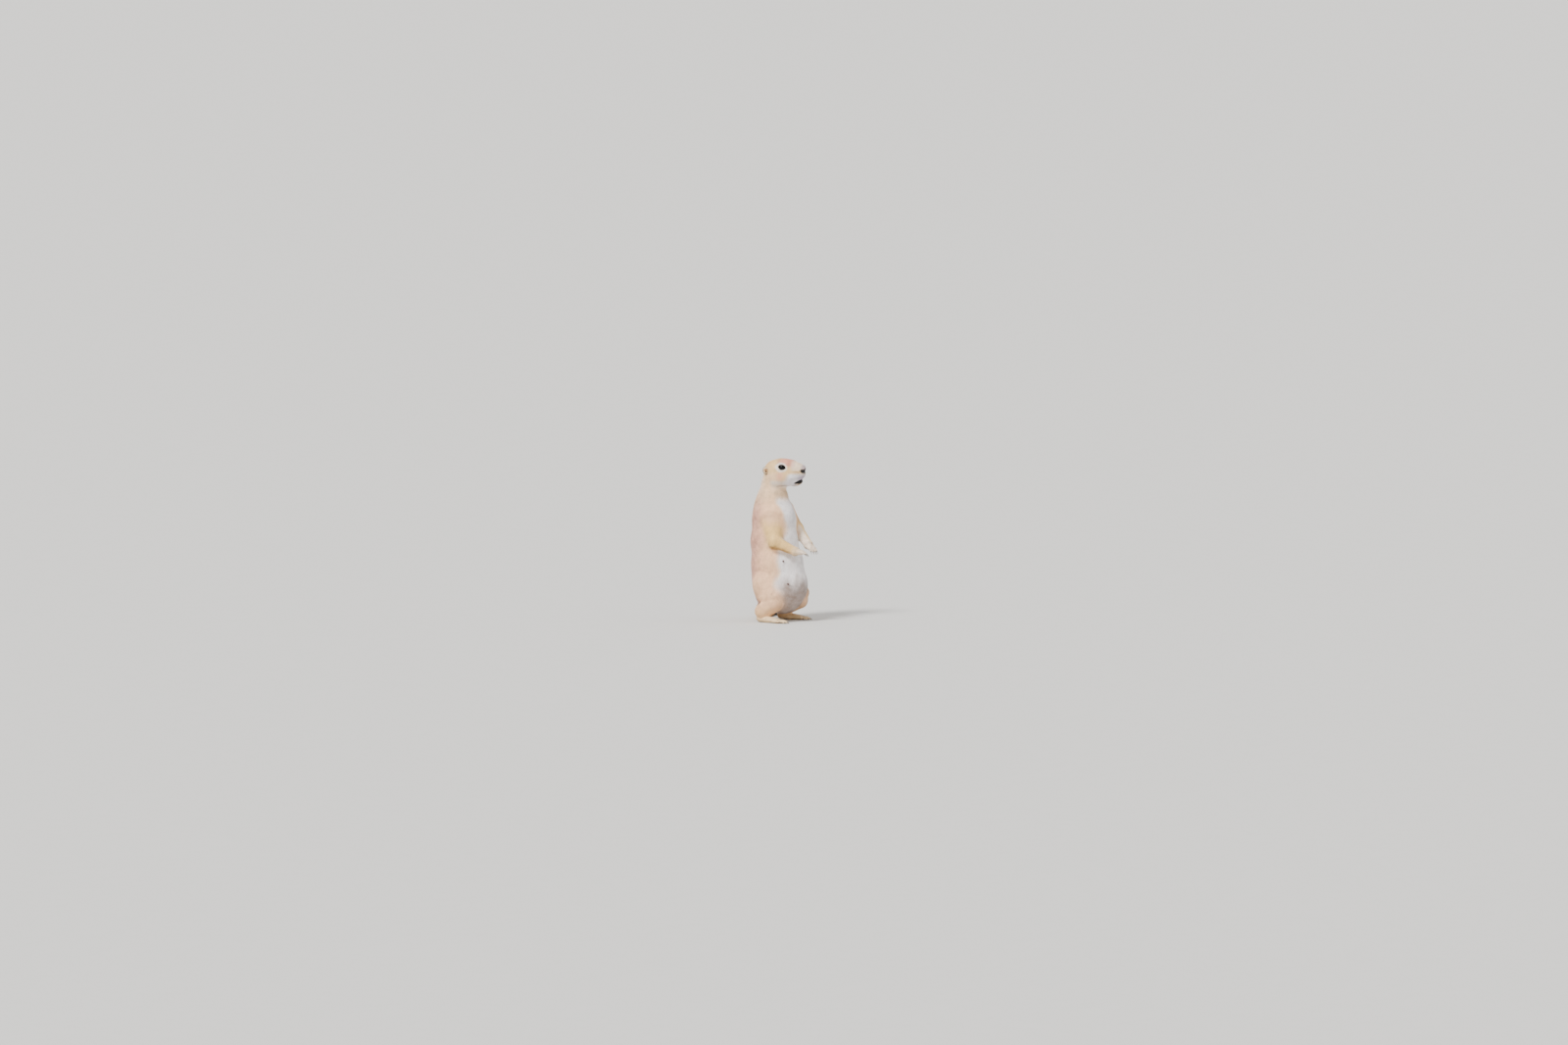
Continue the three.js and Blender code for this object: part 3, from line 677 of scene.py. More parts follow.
def all_forms() -> tuple[Form, ...]:
    """Every form of the body, in the order in which they melt together."""
    forms = [
        Form(Region.TRUNK, TRUNK, 0, 1.4, (0, 0.1, -0.2)),
        Form(Region.HEAD, HEAD, 6, 0.6, (0, 1, -0.25), 0, True),
    ]
    for side, (knee, ankle) in LEGS.items():
        inside = (knee[0] - 0.5, knee[1] + 10, knee[2] - 4)
        leg = (
            Cone(flip((19.5, 8, 66), side), 26.5, flip(knee, side), 16),
            Cone(flip((22, 9, 55), side), 23, flip(inside, side), 17.5, 10),
        )
        shank = (Cone(flip(ankle, side), 15.3, flip((34.5, 12, 18.5), side), 13.5),)
        sole = FOOT if side == 1 else tuple(c.flipped() for c in FOOT)
        forms += [
            Form(Region.THIGH, leg, 7, 1.3, (0, 0.5, -1.6)),
            Form(Region.SHANK, shank, 5, 0.8, (0, 0.2, -0.6)),
            Form(Region.FOOT, sole + foot_paw(side).cones(), 2.5, 0.35, (0, -1, -0.2), 0.2),
        ]
    for arm in ARMS:
        forms += [
            Form(Region.ARM, (Cone(arm.shoulder, 17.5, arm.elbow, 11.2),), 9, 0.9, (0, 0, -0.15)),
            Form(Region.ARM, (Cone(arm.elbow, 11.2, arm.wrist, 7.6),), 4, 0.9, (0, 0, -0.15)),
            Form(Region.HAND, arm.palm() + arm.paw().cones(), 3, 0.4, (0, -0.6, -0.1)),
        ]
    bends = bent(np.array(TAIL), 3)
    tail = tuple(
        Cone(tuple(a[:3]), a[3], tuple(b[:3]), b[3], 0.8) for a, b in zip(bends, bends[1:])
    )
    forms.append(Form(Region.TAIL, tail, 7, 1.2, (0, 0, 0)))
    return tuple(forms)


@dataclass(frozen=True)
class Almond:
    """Opening of the lids: two arcs that meet in the eye's corners.

    Attributes:
        length: corner to corner.
        height: between the lids.
        tilt: how far the front corner points down, in degrees.
    """

    length: float = 12.2
    height: float = 7.4
    tilt: float = 12.0

    def arc(self) -> tuple[float, float]:
        """Radius of the arcs, and how far their middles lie from the eye's."""
        radius = (self.length**2 / 4 + self.height**2 / 4) / self.height
        return radius, radius - self.height / 2

    def distance(self, x: np.ndarray, y: np.ndarray) -> np.ndarray:
        """Signed distance to the opening in the eye's own frame: inside both arcs' circles.

        Args:
            x: places across.
            y: places up.

        Returns:
            Signed distances, negative inside.
        """
        radius, off = self.arc()
        a = math.radians(self.tilt)
        u, v = x * math.cos(a) + y * math.sin(a), y * math.cos(a) - x * math.sin(a)
        return np.maximum(np.hypot(u, v + off), np.hypot(u, v - off)) - radius

    def edge(self, steps: int) -> np.ndarray:
        """(2 * steps, 2) points round the opening.

        Args:
            steps: points on each arc.

        Returns:
            Places across and up.
        """
        radius, off = self.arc()
        half = math.asin(self.length / 2 / radius)
        t = np.linspace(-half, half, steps, endpoint=False)
        upper = np.stack([radius * np.sin(t), radius * np.cos(t) - off], axis=-1)
        ring = np.concatenate([upper, -upper])
        a = math.radians(self.tilt)
        turn = np.array([[math.cos(a), math.sin(a)], [-math.sin(a), math.cos(a)]])
        return ring @ turn


@dataclass(frozen=True)
class Face:
    """Openings of the head and places of the ears, in the head's frame.

    Attributes:
        almond: opening of the lids.
        mouth_front: front end of the lips' plane.
        mouth_corner: the mouth's corner.
        mouth_height: gap between the lips.
        mouth_depth: how deep the gap is cut.
        nostril_at: middle of a nostril.
        nostril_half: its half widths.
        ear_at: middle of an ear's foot.
        ear_out: direction that the ear looks in.
        eye_play: room between an eye's hole and its named radius.
        lid_play: how far the hole is cut past the lids' opening, under their cord.
    """

    almond: Almond = Almond()
    mouth_front: Point = (0, -57, -5.6)
    mouth_corner: Point = (0, -38.5, -16.2)
    mouth_height: float = 1.1
    mouth_depth: float = 2.0
    nostril_at: Point = (3.4, -55.0, 5.6)
    nostril_half: Point = (1.5, 2.4, 1.25)
    ear_at: Point = (19.3, 8.4, 4.4)
    ear_out: Point = (0.9, -0.55, 0.12)
    eye_play: float = 0.1
    lid_play: float = 0.5

    def eye_frame(self, side: int) -> np.ndarray:
        """Rows across, up and out of one eye, in the head's frame."""
        return standing(flip(EYE_AIM, side))

    def at_eye(self, h: np.ndarray, side: int) -> tuple[np.ndarray, np.ndarray]:
        """Points in one eye's frame, and their signed distance to the opening of its lids.

        Args:
            h: points of the head's frame.
            side: 1 for the left, -1 for the right.

        Returns:
            Places across, up and out, and the distances.
        """
        frame = self.eye_frame(side).astype(h.dtype)
        q = (h - np.array(flip(EYE_AT, side), h.dtype)) @ frame.T
        return q, self.almond.distance(q[..., 0] * side, q[..., 1])

    def mouth_line(self, h: np.ndarray) -> tuple[np.ndarray, np.ndarray]:
        """Height above the mouth's plane and place along it, from 0 in the corner.

        Args:
            h: points of the head's frame.

        Returns:
            Heights and places, one of each for each point.
        """
        front, corner = np.array(self.mouth_front), np.array(self.mouth_corner)
        along = unit(front - corner)
        normal = np.array([0, along[2], -along[1]])
        q = h - corner.astype(h.dtype)
        return q @ normal.astype(h.dtype), q @ along.astype(h.dtype)

    def carve(self, p: np.ndarray, d: np.ndarray) -> np.ndarray:
        """The head's field with its openings cut out: max(d, -opening) for each of them.

        Args:
            p: points of the animal's frame.
            d: distances of the uncut head there.

        Returns:
            Signed distances, negative inside.
        """
        h = animal_to_head(p)
        above, along = self.mouth_line(h)
        slit = np.maximum(np.abs(above) - self.mouth_height / 2, -along)
        cut = np.maximum(slit, -(d + self.mouth_depth))
        for side in (1, -1):
            q, opening = self.at_eye(h, side)
            ball = np.linalg.norm(q, axis=-1) - (EYE_RADIUS + self.eye_play)
            hole = np.maximum(opening - self.lid_play, -q[..., 2])
            cut = np.minimum(cut, np.minimum(ball, hole))
            n = h - np.array(flip(self.nostril_at, side), h.dtype)
            nostril = np.linalg.norm(n / np.array(self.nostril_half, h.dtype), axis=-1) - 1
            cut = np.minimum(cut, nostril * 1.4)
        return np.maximum(d, -cut)


@dataclass
class Flesh:
    """The whole body as one field of distance, negative inside, in millimetres.

    Attributes:
        face: the openings of the head.
        forms: what melts together, in its order.
        share_reach: distance over which one region's coat gives way to another's.
        lie_reach: distance over which one lie of the hair gives way to another.
        far: distance given to places that no form reaches.
        margin: how far round a form its distance is worked out on a grid.
    """

    face: Face = Face()
    forms: tuple[Form, ...] = field(default_factory=all_forms)
    share_reach: float = 2.5
    lie_reach: float = 5.0
    far: float = 60.0
    margin: float = 9.0

    def distance(self, p: np.ndarray) -> np.ndarray:
        """Signed distance of free points, with the openings of the head.

        Args:
            p: points of the animal's frame.

        Returns:
            Signed distances, negative inside.
        """
        d = np.full(p.shape[:-1], 1e3, p.dtype)
        for form in self.forms:
            d = melted(d, form.distance(p), form.melt)
        head = p[..., 2] > THROAT
        if head.any():
            d[head] = self.face.carve(p[head], d[head])
        return d

    def on_grid(self, axes: list[np.ndarray]) -> np.ndarray:
        """The same field on the crossings of three axes, each cone only in its own box.

        Args:
            axes: the three rising rows of coordinates.

        Returns:
            Signed distances, negative inside.
        """
        shape = tuple(len(a) for a in axes)
        total = np.full(shape, self.far, np.float32)
        for form in self.forms:
            cones = [c.box(self.margin + form.melt) for c in form.cones]
            low = np.min([b[0] for b in cones], axis=0)
            high = np.max([b[1] for b in cones], axis=0)
            if form.in_head:  # grown, because the head is turned
                low, high = HEAD_AT + low * 1.15 - 4, HEAD_AT + high * 1.15 + 4
            cut = tuple(
                slice(*np.searchsorted(a, [lo, hi])) for a, lo, hi in zip(axes, low, high)
            )
            local = np.meshgrid(*[a[c] for a, c in zip(axes, cut)], indexing="ij")
            p = np.stack(local, axis=-1).astype(np.float32)
            total[cut] = melted(total[cut], form.distance(p), form.melt)
        rows = axes[2] > THROAT
        local = np.meshgrid(axes[0], axes[1], axes[2][rows], indexing="ij")
        p = np.stack(local, axis=-1).astype(np.float32)
        total[:, :, rows] = self.face.carve(p, total[:, :, rows])
        return total

    def normal(self, p: np.ndarray, reach: float = 0.25) -> np.ndarray:
        """Outward direction: the field's slope over a short reach, scaled to length one.

        Args:
            p: points of the animal's frame.
            reach: half the length that the slope is taken over.

        Returns:
            Directions of length one.
        """
        slopes = []
        for axis in range(3):
            off = np.zeros(3)
            off[axis] = reach
            slopes.append(self.distance(p + off) - self.distance(p - off))
        return unit(np.stack(slopes, axis=-1))

    def nearness(self, p: np.ndarray, reach: float) -> np.ndarray:
        """Weight of each form at a point: exp(-(its distance - the least) / reach), summing to one.

        Args:
            p: points of the animal's frame.
            reach: distance over which a weight falls off.

        Returns:
            A row of weights for each form.
        """
        d = np.stack([form.distance(p) for form in self.forms])
        w = np.exp(-np.clip(d - d.min(axis=0), 0, self.far) / reach)
        return w / w.sum(axis=0)

    def shares(self, p: np.ndarray) -> dict[Region, np.ndarray]:
        """How much each region owns a point, from the nearness of its forms.

        Args:
            p: points of the animal's frame.

        Returns:
            For each region a share for each point.
        """
        out = {region: np.zeros(len(p)) for region in Region}
        for form, weight in zip(self.forms, self.nearness(p, self.share_reach)):
            out[form.region] = out[form.region] + weight
        return out

    def lie(self, p: np.ndarray, normal: np.ndarray) -> np.ndarray:
        """Lie of the hair: the forms' own directions, weighted by nearness, laid on the skin.

        Args:
            p: points of the animal's frame.
            normal: outward directions at them.

        Returns:
            Directions of length one.
        """
        near = self.nearness(p, self.lie_reach)
        total = sum(form.lie(p) * weight[:, None] for form, weight in zip(self.forms, near))
        total = total - (total * normal).sum(axis=-1, keepdims=True) * normal
        return unit(total)


def moved(at: np.ndarray, steps: dict[int, int]) -> np.ndarray:
    """Grid numbers moved back by so many steps along the axes named.

    Args:
        at: (n, 3) grid numbers.
        steps: axis and steps back.

    Returns:
        (n, 3) grid numbers.
    """
    c = at.copy()
    for axis, back in steps.items():
        c[:, axis] -= back
    return c


def surface_net(values: np.ndarray, axes: list[np.ndarray]) -> tuple[np.ndarray, np.ndarray]:
    """Quads of the surface where a field on a grid of uneven steps changes sign.

    Each cell that the surface crosses gets one point, the mean of the crossings on its edges,
    and each edge that it crosses gets one quad between the four cells round it.

    Args:
        values: the field on the crossings of the axes, negative inside.
        axes: the three rising rows of coordinates.

    Returns:
        Points and quads that face outward.
    """
    inside = values < 0
    cells = tuple(n - 1 for n in values.shape)
    sums = np.zeros((3, *cells), np.float32)
    counts = np.zeros(cells, np.int16)
    crossings = []
    for axis in range(3):
        lo = tuple(slice(0, -1) if i == axis else slice(None) for i in range(3))
        hi = tuple(slice(1, None) if i == axis else slice(None) for i in range(3))
        at = np.argwhere(inside[lo] != inside[hi])
        far = moved(at, {axis: -1})
        a, b = values[tuple(at.T)], values[tuple(far.T)]
        t = a / (a - b)
        p = np.stack([axes[i][at[:, i]] for i in range(3)], axis=-1).astype(np.float32)
        p[:, axis] += t * (axes[axis][far[:, axis]] - axes[axis][at[:, axis]])
        crossings.append((axis, at, inside[tuple(at.T)]))
        u, v = [i for i in range(3) if i != axis]
        for du in (0, 1):
            for dv in (0, 1):
                c = moved(at, {u: du, v: dv})
                ok = np.all((c >= 0) & (c < np.array(cells)), axis=1)
                key = tuple(c[ok].T)
                np.add.at(counts, key, 1)
                for i in range(3):
                    np.add.at(sums[i], key, p[ok, i])
    used = counts > 0
    number = np.full(cells, -1, np.int64)
    number[used] = np.arange(used.sum())
    points = np.stack([s[used] / counts[used] for s in sums], axis=-1)
    quads = []
    for axis, at, starts_inside in crossings:
        u, v = (axis + 1) % 3, (axis + 2) % 3
        both_ways = at[:, [u, v]]
        ok = np.all((both_ways > 0) & (both_ways < np.array(cells)[[u, v]]), axis=1)
        at, starts_inside = at[ok], starts_inside[ok]
        around = ((1, 1), (0, 1), (0, 0), (1, 0))
        ring = [number[tuple(moved(at, {u: du, v: dv}).T)] for du, dv in around]
        quad = np.stack(ring, axis=-1)
        quads.append(np.where(starts_inside[:, None], quad, quad[:, ::-1]))
    return points.astype(float), np.concatenate(quads)


# Colour of skin and coat


def mottle(p: np.ndarray, size: float, seed: int) -> np.ndarray:
    """Soft cloudy value from -1 to 1: the mean of five plane waves about "size" long.

    Args:
        p: points of the animal's frame.
        size: length of a wave, in millimetres.
        seed: of the source of chance.

    Returns:
        One value for each point.
    """
    rng = np.random.default_rng(seed)
    waves = unit(rng.normal(size=(5, 3))) * rng.uniform(0.7, 1.5, (5, 1)) * (2 * np.pi / size)
    return np.sin(p @ waves.T + rng.uniform(0, 6.3, 5)).mean(axis=-1) * 1.8


@dataclass(frozen=True)
class Markings:
    """Where each colour of the animal lies, in sRGB hex, shared by the skin and the coat."""

    back: str = "#d2ac9d"
    ridge: str = "#c3a083"
    grizzle: str = "#8a655c"
    flank: str = "#f0cbaf"
    belly: str = "#f9f4f3"
    # greyer lower belly, darkened further by painted shade between the legs
    groin_and_shade: str = "#8c786d"
    neck: str = "#ebd0b2"
    nape: str = "#f1e1d4"
    # painted shadow that the head casts on the throat under the jaw
    throat_shadow: str = "#a3927e"
    crown: str = "#e7c9a3"
    brow: str = "#dba797"
    cheek: str = "#efd1b3"
    blush: str = "#e2b19d"
    eye_ring: str = "#fbf4ec"
    lid: str = "#0d0909"
    muzzle: str = "#f7f3f5"
    jaw: str = "#f3ebe2"
    # painted shade in the fold under the cheek and jaw
    crease_shade: str = "#8a6c5c"
    # painted shade on the upper lip under the nose, a darker copy of the muzzle's white
    upper_lip_shade: str = "#b3a6b4"
    # painted reflection of the sky on the glossy top of the nose
    nose_top_reflection: str = "#b4a7ae"
    nose: str = "#0c0808"
    # painted shade on the chin under the mouth, brownish as if lit from the ground
    chin_shade: str = "#c2a98e"
    # the dark mouth line, and below it the painted shadow of the muzzle on the lower lip
    mouth: str = "#110b0b"
    arm: str = "#eccb9c"
    inner_arm: str = "#f1e2d2"
    hand: str = "#efdfd0"
    # painted shadow on the underside of the elbow and forearm
    shadow_under_arm: str = "#a8845e"
    shank: str = "#e8c5a4"
    foot: str = "#e8d2b4"
    tail: str = "#d3b08c"
    tail_end: str = "#241c19"
    vivid: float = 1.45  # soft studio light pales hair, so its colours are laid on deeper

    def eyes(self, h: np.ndarray, face: Face) -> np.ndarray:
        """Distance to the nearer opening of the lids, 99 away from the eyes.

        Args:
            h: points of the head's frame.
            face: the openings of the head.

        Returns:
            One distance for each point.
        """
        near = np.full(len(h), 99.0)
        for side in (1, -1):
            q, opening = face.at_eye(h, side)
            near = np.where((q[:, 2] > 0) & (np.linalg.norm(q, axis=-1) < 15), opening, near)
        return near

    def on_head(self, h: np.ndarray, face: Face) -> np.ndarray:
        """Colours of points in the head's frame, each zone laid over those before it.

        Args:
            h: points of the head's frame.
            face: the openings of the head.

        Returns:
            (n, 3) linear colours.
        """
        x, y, z = np.abs(h[:, 0]), h[:, 1], h[:, 2]
        above, along = face.mouth_line(h)
        opening = self.eyes(h, face)
        tip = oval(h, (0, -57, 4.2), (6.6, 7, 5))
        wing = oval(h, (6, -52, 4.4), (4.2, 4.4, 3.6))
        # the painted shadow under the mouth line grows thicker towards the front
        shadow_widens = step(-1, 8, along)
        blunt = 1.6 * step(14, 20, along)
        lip_shadow = step(-1.5 - 3.4 * shadow_widens + blunt, -0.9 - 2.8 * shadow_widens + blunt, above)
        zones = (
            (self.cheek, step(6, -4, z) * step(14, 2, y) * step(-30, -18, y)),
            (self.neck, step(4, 16, y) * step(2, -12, z)),
            (self.nape, step(4, 18, y) * step(-30, -18, z) * step(16, -6, z) * 0.5),
            (self.brow, step(11, 16, z - 0.12 * (y + 20)) * step(-9, -22, y) * step(-46, -31, y)),
            (self.jaw, step(-9, -14, z) * step(4, -6, y) * 0.8),
            (self.muzzle, step(-24, -34, y + 0.5 * (z + 8)) * step(3, -3, z)),
            (self.blush, bump(-19, 5.5, y) * bump(-3.5, 7.5, z) * step(8, 12, x) * 0.7),
            # painted shade along the jaw's fold
            (self.crease_shade, bump(-20, 1.1, z + 0.1 * y + 2) * step(-8, -12, y) * step(-28, -23, y) * 0.7),
            # painted shadow under the jaw
            (self.throat_shadow, step(-18, -26, z) * step(-10, -18, y) * 0.35),
            (self.eye_ring, bump(2.3, 1.9, opening)),
            (self.lid, step(1.3, 0.7, opening)),
            (self.eye_ring, step(-32, -40, y) * step(3, 7, z) * 0.45),
            # painted reflection on the top of the nose
            (self.nose_top_reflection, step(-49, -53, y) * step(7, 9, z) * 0.8),
            # painted shade on the upper lip
            (self.upper_lip_shade, bump(2.6, 3.0, above) * step(7, 14, along) * 0.9),
            # painted shade on the chin
            (self.chin_shade, step(-0.4, -2.2, above) * step(-6, 8, along) * 0.9),
            # mouth line and the painted shadow below it
            (self.mouth, step(1.2, 0.5, above) * lip_shadow * step(-2, 0.5, along)),
            (self.nose, np.maximum(step(1.08, 0.9, tip), step(1.1, 0.9, wing))),
        )
        return laid_over(self.crown, zones, len(h))

    def on_trunk(self, p: np.ndarray) -> np.ndarray:
        """Colours of trunk and neck by height and by the angle round them from the front.

        The white of the belly ends at an angle that changes with height: it is widest below
        the arms, narrowest between them and spreads again on the breast.

        Args:
            p: points of the animal's frame.

        Returns:
            (n, 3) linear colours.
        """
        turn = from_front(p)
        wave = 7 * mottle(p, 30, 3)
        z = p[:, 2]
        edge = np.interp(z, [0, 100, 122, 150, 184, 205], [62, 56, 54, 27, 33, 42])
        white = step(edge + 12, edge - 8, turn + wave) * step(218, 202, z + 0.4 * wave)
        cloud = 0.14 + 0.16 * mottle(p, 11, 41)
        # painted shade low on the front of the belly, between the legs
        shade_between_legs = step(88, 58, z + 0.8 * wave + 5 * mottle(p, 12, 17)) * step(68, 36, turn)
        zones = (
            (self.back, step(78, 138, turn + wave)),
            (self.ridge, step(132, 172, turn + wave) * 0.75),
            (self.grizzle, cloud * step(88, 120, turn) * step(60, 100, z) * step(200, 180, z)),
            (self.neck, step(184, 226, z + 0.5 * wave) * 0.85),
            (self.nape, step(208, 240, z) * step(95, 150, turn) * 0.5),
            (self.belly, white),
            # painted shadow of the head on the throat
            (self.throat_shadow, bump(219, 7, z) * step(72, 46, turn) * 0.5),
            (self.groin_and_shade, shade_between_legs * (0.8 + 0.06 * mottle(p, 17, 19) + 0.05 * mottle(p, 5, 43))),
        )
        return laid_over(self.flank, zones, len(p))

    def on_arm(self, p: np.ndarray, normal: np.ndarray) -> np.ndarray:
        """Colours of the arms: flank at the shoulder, buff outside, painted shadow under elbow and
        forearm.

        Args:
            p: points of the animal's frame.
            normal: outward directions at them.

        Returns:
            (n, 3) linear colours.
        """
        y, z = p[:, 1], p[:, 2]
        inner = step(0.1, -0.5, normal[:, 0] * np.sign(p[:, 0]))
        # downward faces of elbow and forearm, where the painted shadow lies
        under = step(-0.2, -0.75, normal[:, 2]) * step(8, 26, -y + 20) * step(-46, -30, y)
        zones = (
            (self.arm, step(182, 158, z + 2 * mottle(p, 20, 23))),
            (self.inner_arm, inner),
            (self.shadow_under_arm, under * (0.75 - 0.5 * inner)),
        )
        return laid_over(self.flank, zones, len(p))

    def deepened(self, c: np.ndarray) -> np.ndarray:
        """Colours drawn away from their own grey: grey + (c - grey) vivid, kept from 0 to 1."""
        grey = c.mean(axis=-1, keepdims=True)
        return np.clip(grey + (c - grey) * self.vivid, 0, 1)

    def colour(self, p: np.ndarray, normal: np.ndarray, shares: dict[Region, np.ndarray],
               face: Face) -> np.ndarray:
        """Linear colours of points on the skin: each region's own, mixed by its share.

        Args:
            p: (n, 3) points of the animal's frame.
            normal: (n, 3) outward directions there.
            shares: how much each region owns each point.
            face: the openings of the head.

        Returns:
            (n, 3) linear colours.
        """
        low = step(38, 12, p[:, 2] + 3 * mottle(p, 18, 13))
        tip = step(54, 68, p[:, 0] + 2.5 * mottle(p, 9, 5))
        own = {
            Region.HEAD: self.on_head(animal_to_head(p), face),
            Region.TRUNK: self.on_trunk(p),
            Region.ARM: self.on_arm(p, normal),
            Region.HAND: linear(self.hand),
            Region.THIGH: linear(self.flank),
            Region.SHANK: laid_over(self.flank, ((self.shank, low),), len(p)),
            Region.FOOT: linear(self.foot),
            Region.TAIL: laid_over(self.tail, ((self.tail_end, tip),), len(p)),
        }
        c = sum(colour * shares[region][:, None] for region, colour in own.items())
        return self.deepened(c * (1 + 0.045 * mottle(p, 16, 7))[:, None])

    def dark_hairs(self, p: np.ndarray, shares: dict[Region, np.ndarray]) -> np.ndarray:
        """Share of darker hairs: a few all over, more on the back and the tail.

        Args:
            p: points of the animal's frame.
            shares: how much each region owns them.

        Returns:
            A share for each point.
        """
        back = step(70, 130, from_front(p)) * step(45, 80, p[:, 2]) * shares[Region.TRUNK]
        return 0.01 + 0.09 * back + 0.01 * shares[Region.HEAD] + 0.08 * shares[Region.TAIL]


# Finishes


class Look:
    """A procedural material under construction."""

    def __init__(self, name: str) -> None:
        """Starts a node material with its shader and output.

        Args:
            name: the finish's common name.
        """
        self.material = bpy.data.materials.new(name)
        self.material.use_nodes = True
        self.tree = self.material.node_tree
        self.shader = self.tree.nodes["Principled BSDF"]

    def add(self, kind: str, links: dict | None = None, **settings: object) -> bpy.types.Node:
        """Adds a node with its settings and its links.

        Args:
            kind: the node's type.
            links: input name or number to a socket or a plain value.
            settings: the node's own attributes.

        Returns:
            The node.
        """
        node = self.tree.nodes.new(kind)
        for key, value in settings.items():
            setattr(node, key, value)
        for key, value in (links or {}).items():
            self.feed(node.inputs[key], value)
        return node

    def feed(self, socket: bpy.types.NodeSocket, value: object) -> None:
        """Links a socket to another one, or sets it to a plain value.

        Args:
            socket: an input.
            value: an output to link, or a value.
        """
        if isinstance(value, bpy.types.NodeSocket):
            self.tree.links.new(value, socket)
        else:
            socket.default_value = value

    def shade(self, **values: object) -> None:
        """Sets or links the shader's sockets, with _ for a space in their names."""
        for key, value in values.items():
            self.feed(self.shader.inputs[key.replace("_", " ")], value)


@dataclass(frozen=True)
class Finish:
    """One real surface.

    Attributes:
        name: its common name.
        roughness: 0 for a mirror, 1 for chalk.
        grain_mm: size of its pattern.
        relief_mm: depth of its pattern.
        light: sRGB hex of the lighter colour, empty where points carry the colour.
        dark: sRGB hex of the darker colour.
        film: weight of a wet or polished film.
        shine: level of the surface's own reflection, 0.5 for most matter.
    """

    name: str
    roughness: float
    grain_mm: float
    relief_mm: float
    light: str = ""
    dark: str = ""
    film: float = 0.0
    shine: float = 0.5

    def painted(self) -> bpy.types.Material:
        """Hair or skin whose colour its points carry, with a fine grain.

        Returns:
            The material.
        """
        look = Look(self.name)
        colour = look.add("ShaderNodeAttribute", attribute_name=COAT_LAYER).outputs["Color"]
        place = look.add("ShaderNodeTexCoord").outputs["Object"]
        grain = look.add(
            "ShaderNodeTexNoise",
            {"Vector": place, "Scale": 1 / (self.grain_mm * MM), "Detail": 3.0, "Roughness": 0.6},
        ).outputs["Fac"]
        shade = look.add(
            "ShaderNodeMapRange",
            {"Value": grain, "From Min": 0.3, "From Max": 0.7, "To Min": 0.9, "To Max": 1.08},
        ).outputs["Result"]
        mixed = look.add("ShaderNodeVectorMath", {0: colour, 3: shade}, operation="SCALE")
        relief = look.add(
            "ShaderNodeBump", {"Height": grain, "Strength": 0.6, "Distance": self.relief_mm * MM}
        ).outputs["Normal"]
        look.shade(Base_Color=mixed.outputs["Vector"], Roughness=self.roughness, Normal=relief)
        look.shade(Sheen_Weight=0.12, Sheen_Roughness=0.5)
        return look.material

    def solid(self) -> bpy.types.Material:
        """A body colour that a fine noise carries from light to dark.

        Returns:
            The material.
        """
        look = Look(self.name)
        place = look.add("ShaderNodeTexCoord").outputs["Object"]
        grain = look.add(
            "ShaderNodeTexNoise",
            {"Vector": place, "Scale": 1 / (self.grain_mm * MM), "Detail": 4.0},
        ).outputs["Fac"]
        colours = {0: grain, 6: rgba(self.dark), 7: rgba(self.light)}
        colour = look.add("ShaderNodeMix", colours, data_type="RGBA")
        relief = look.add(
            "ShaderNodeBump", {"Height": grain, "Strength": 0.4, "Distance": self.relief_mm * MM}
        ).outputs["Normal"]
        look.shade(Base_Color=colour.outputs[2], Roughness=self.roughness, Normal=relief)
        look.shade(Coat_Weight=self.film, Coat_Roughness=0.04, Specular_IOR_Level=self.shine)
        return look.material


UNDERFUR = Finish("prairie dog underfur", 0.9, 0.9, 0.35)  # a matt ground between the tufts
GUARD_HAIR = Finish("guard hair", 0.78, 0.6, 0.1)  # a soft, broken shine along the lie
EAR_SKIN = Finish("ear skin with short down", 0.75, 0.6, 0.15)  # smoother and warmer than fur
# A deep black that holds one sharp highlight.
WET_EYE = Finish("wet dark eye", 0.07, 2.0, 0.004, "#090504", "#020101", shine=0.16)
# A dull black rim that sets the wet eye off from the pale ring of fur.
LID = Finish("bare eyelid skin", 0.6, 0.5, 0.08, "#0c0807", "#050303", shine=0.2)
# Brown streaks under a slight polish.
HORN = Finish("claw horn", 0.38, 0.8, 0.05, "#9a8674", "#4b3d35", film=0.2)
# Thin dark lines with a faint glint.
BRISTLE = Finish("whisker", 0.35, 1.0, 0.02, "#7d6a5c", "#4f4138")
# Small dark pegs, smoother than the fur round them.
TEAT_SKIN = Finish("bare teat skin", 0.5, 0.4, 0.1, "#6d4c44", "#33211e", film=0.1)
# A plain pale ground that holds a soft shadow.
FLOOR = Finish("pale studio floor", 0.9, 40.0, 0.01, "#d3d1cd", "#cfcdc9")


# Skin


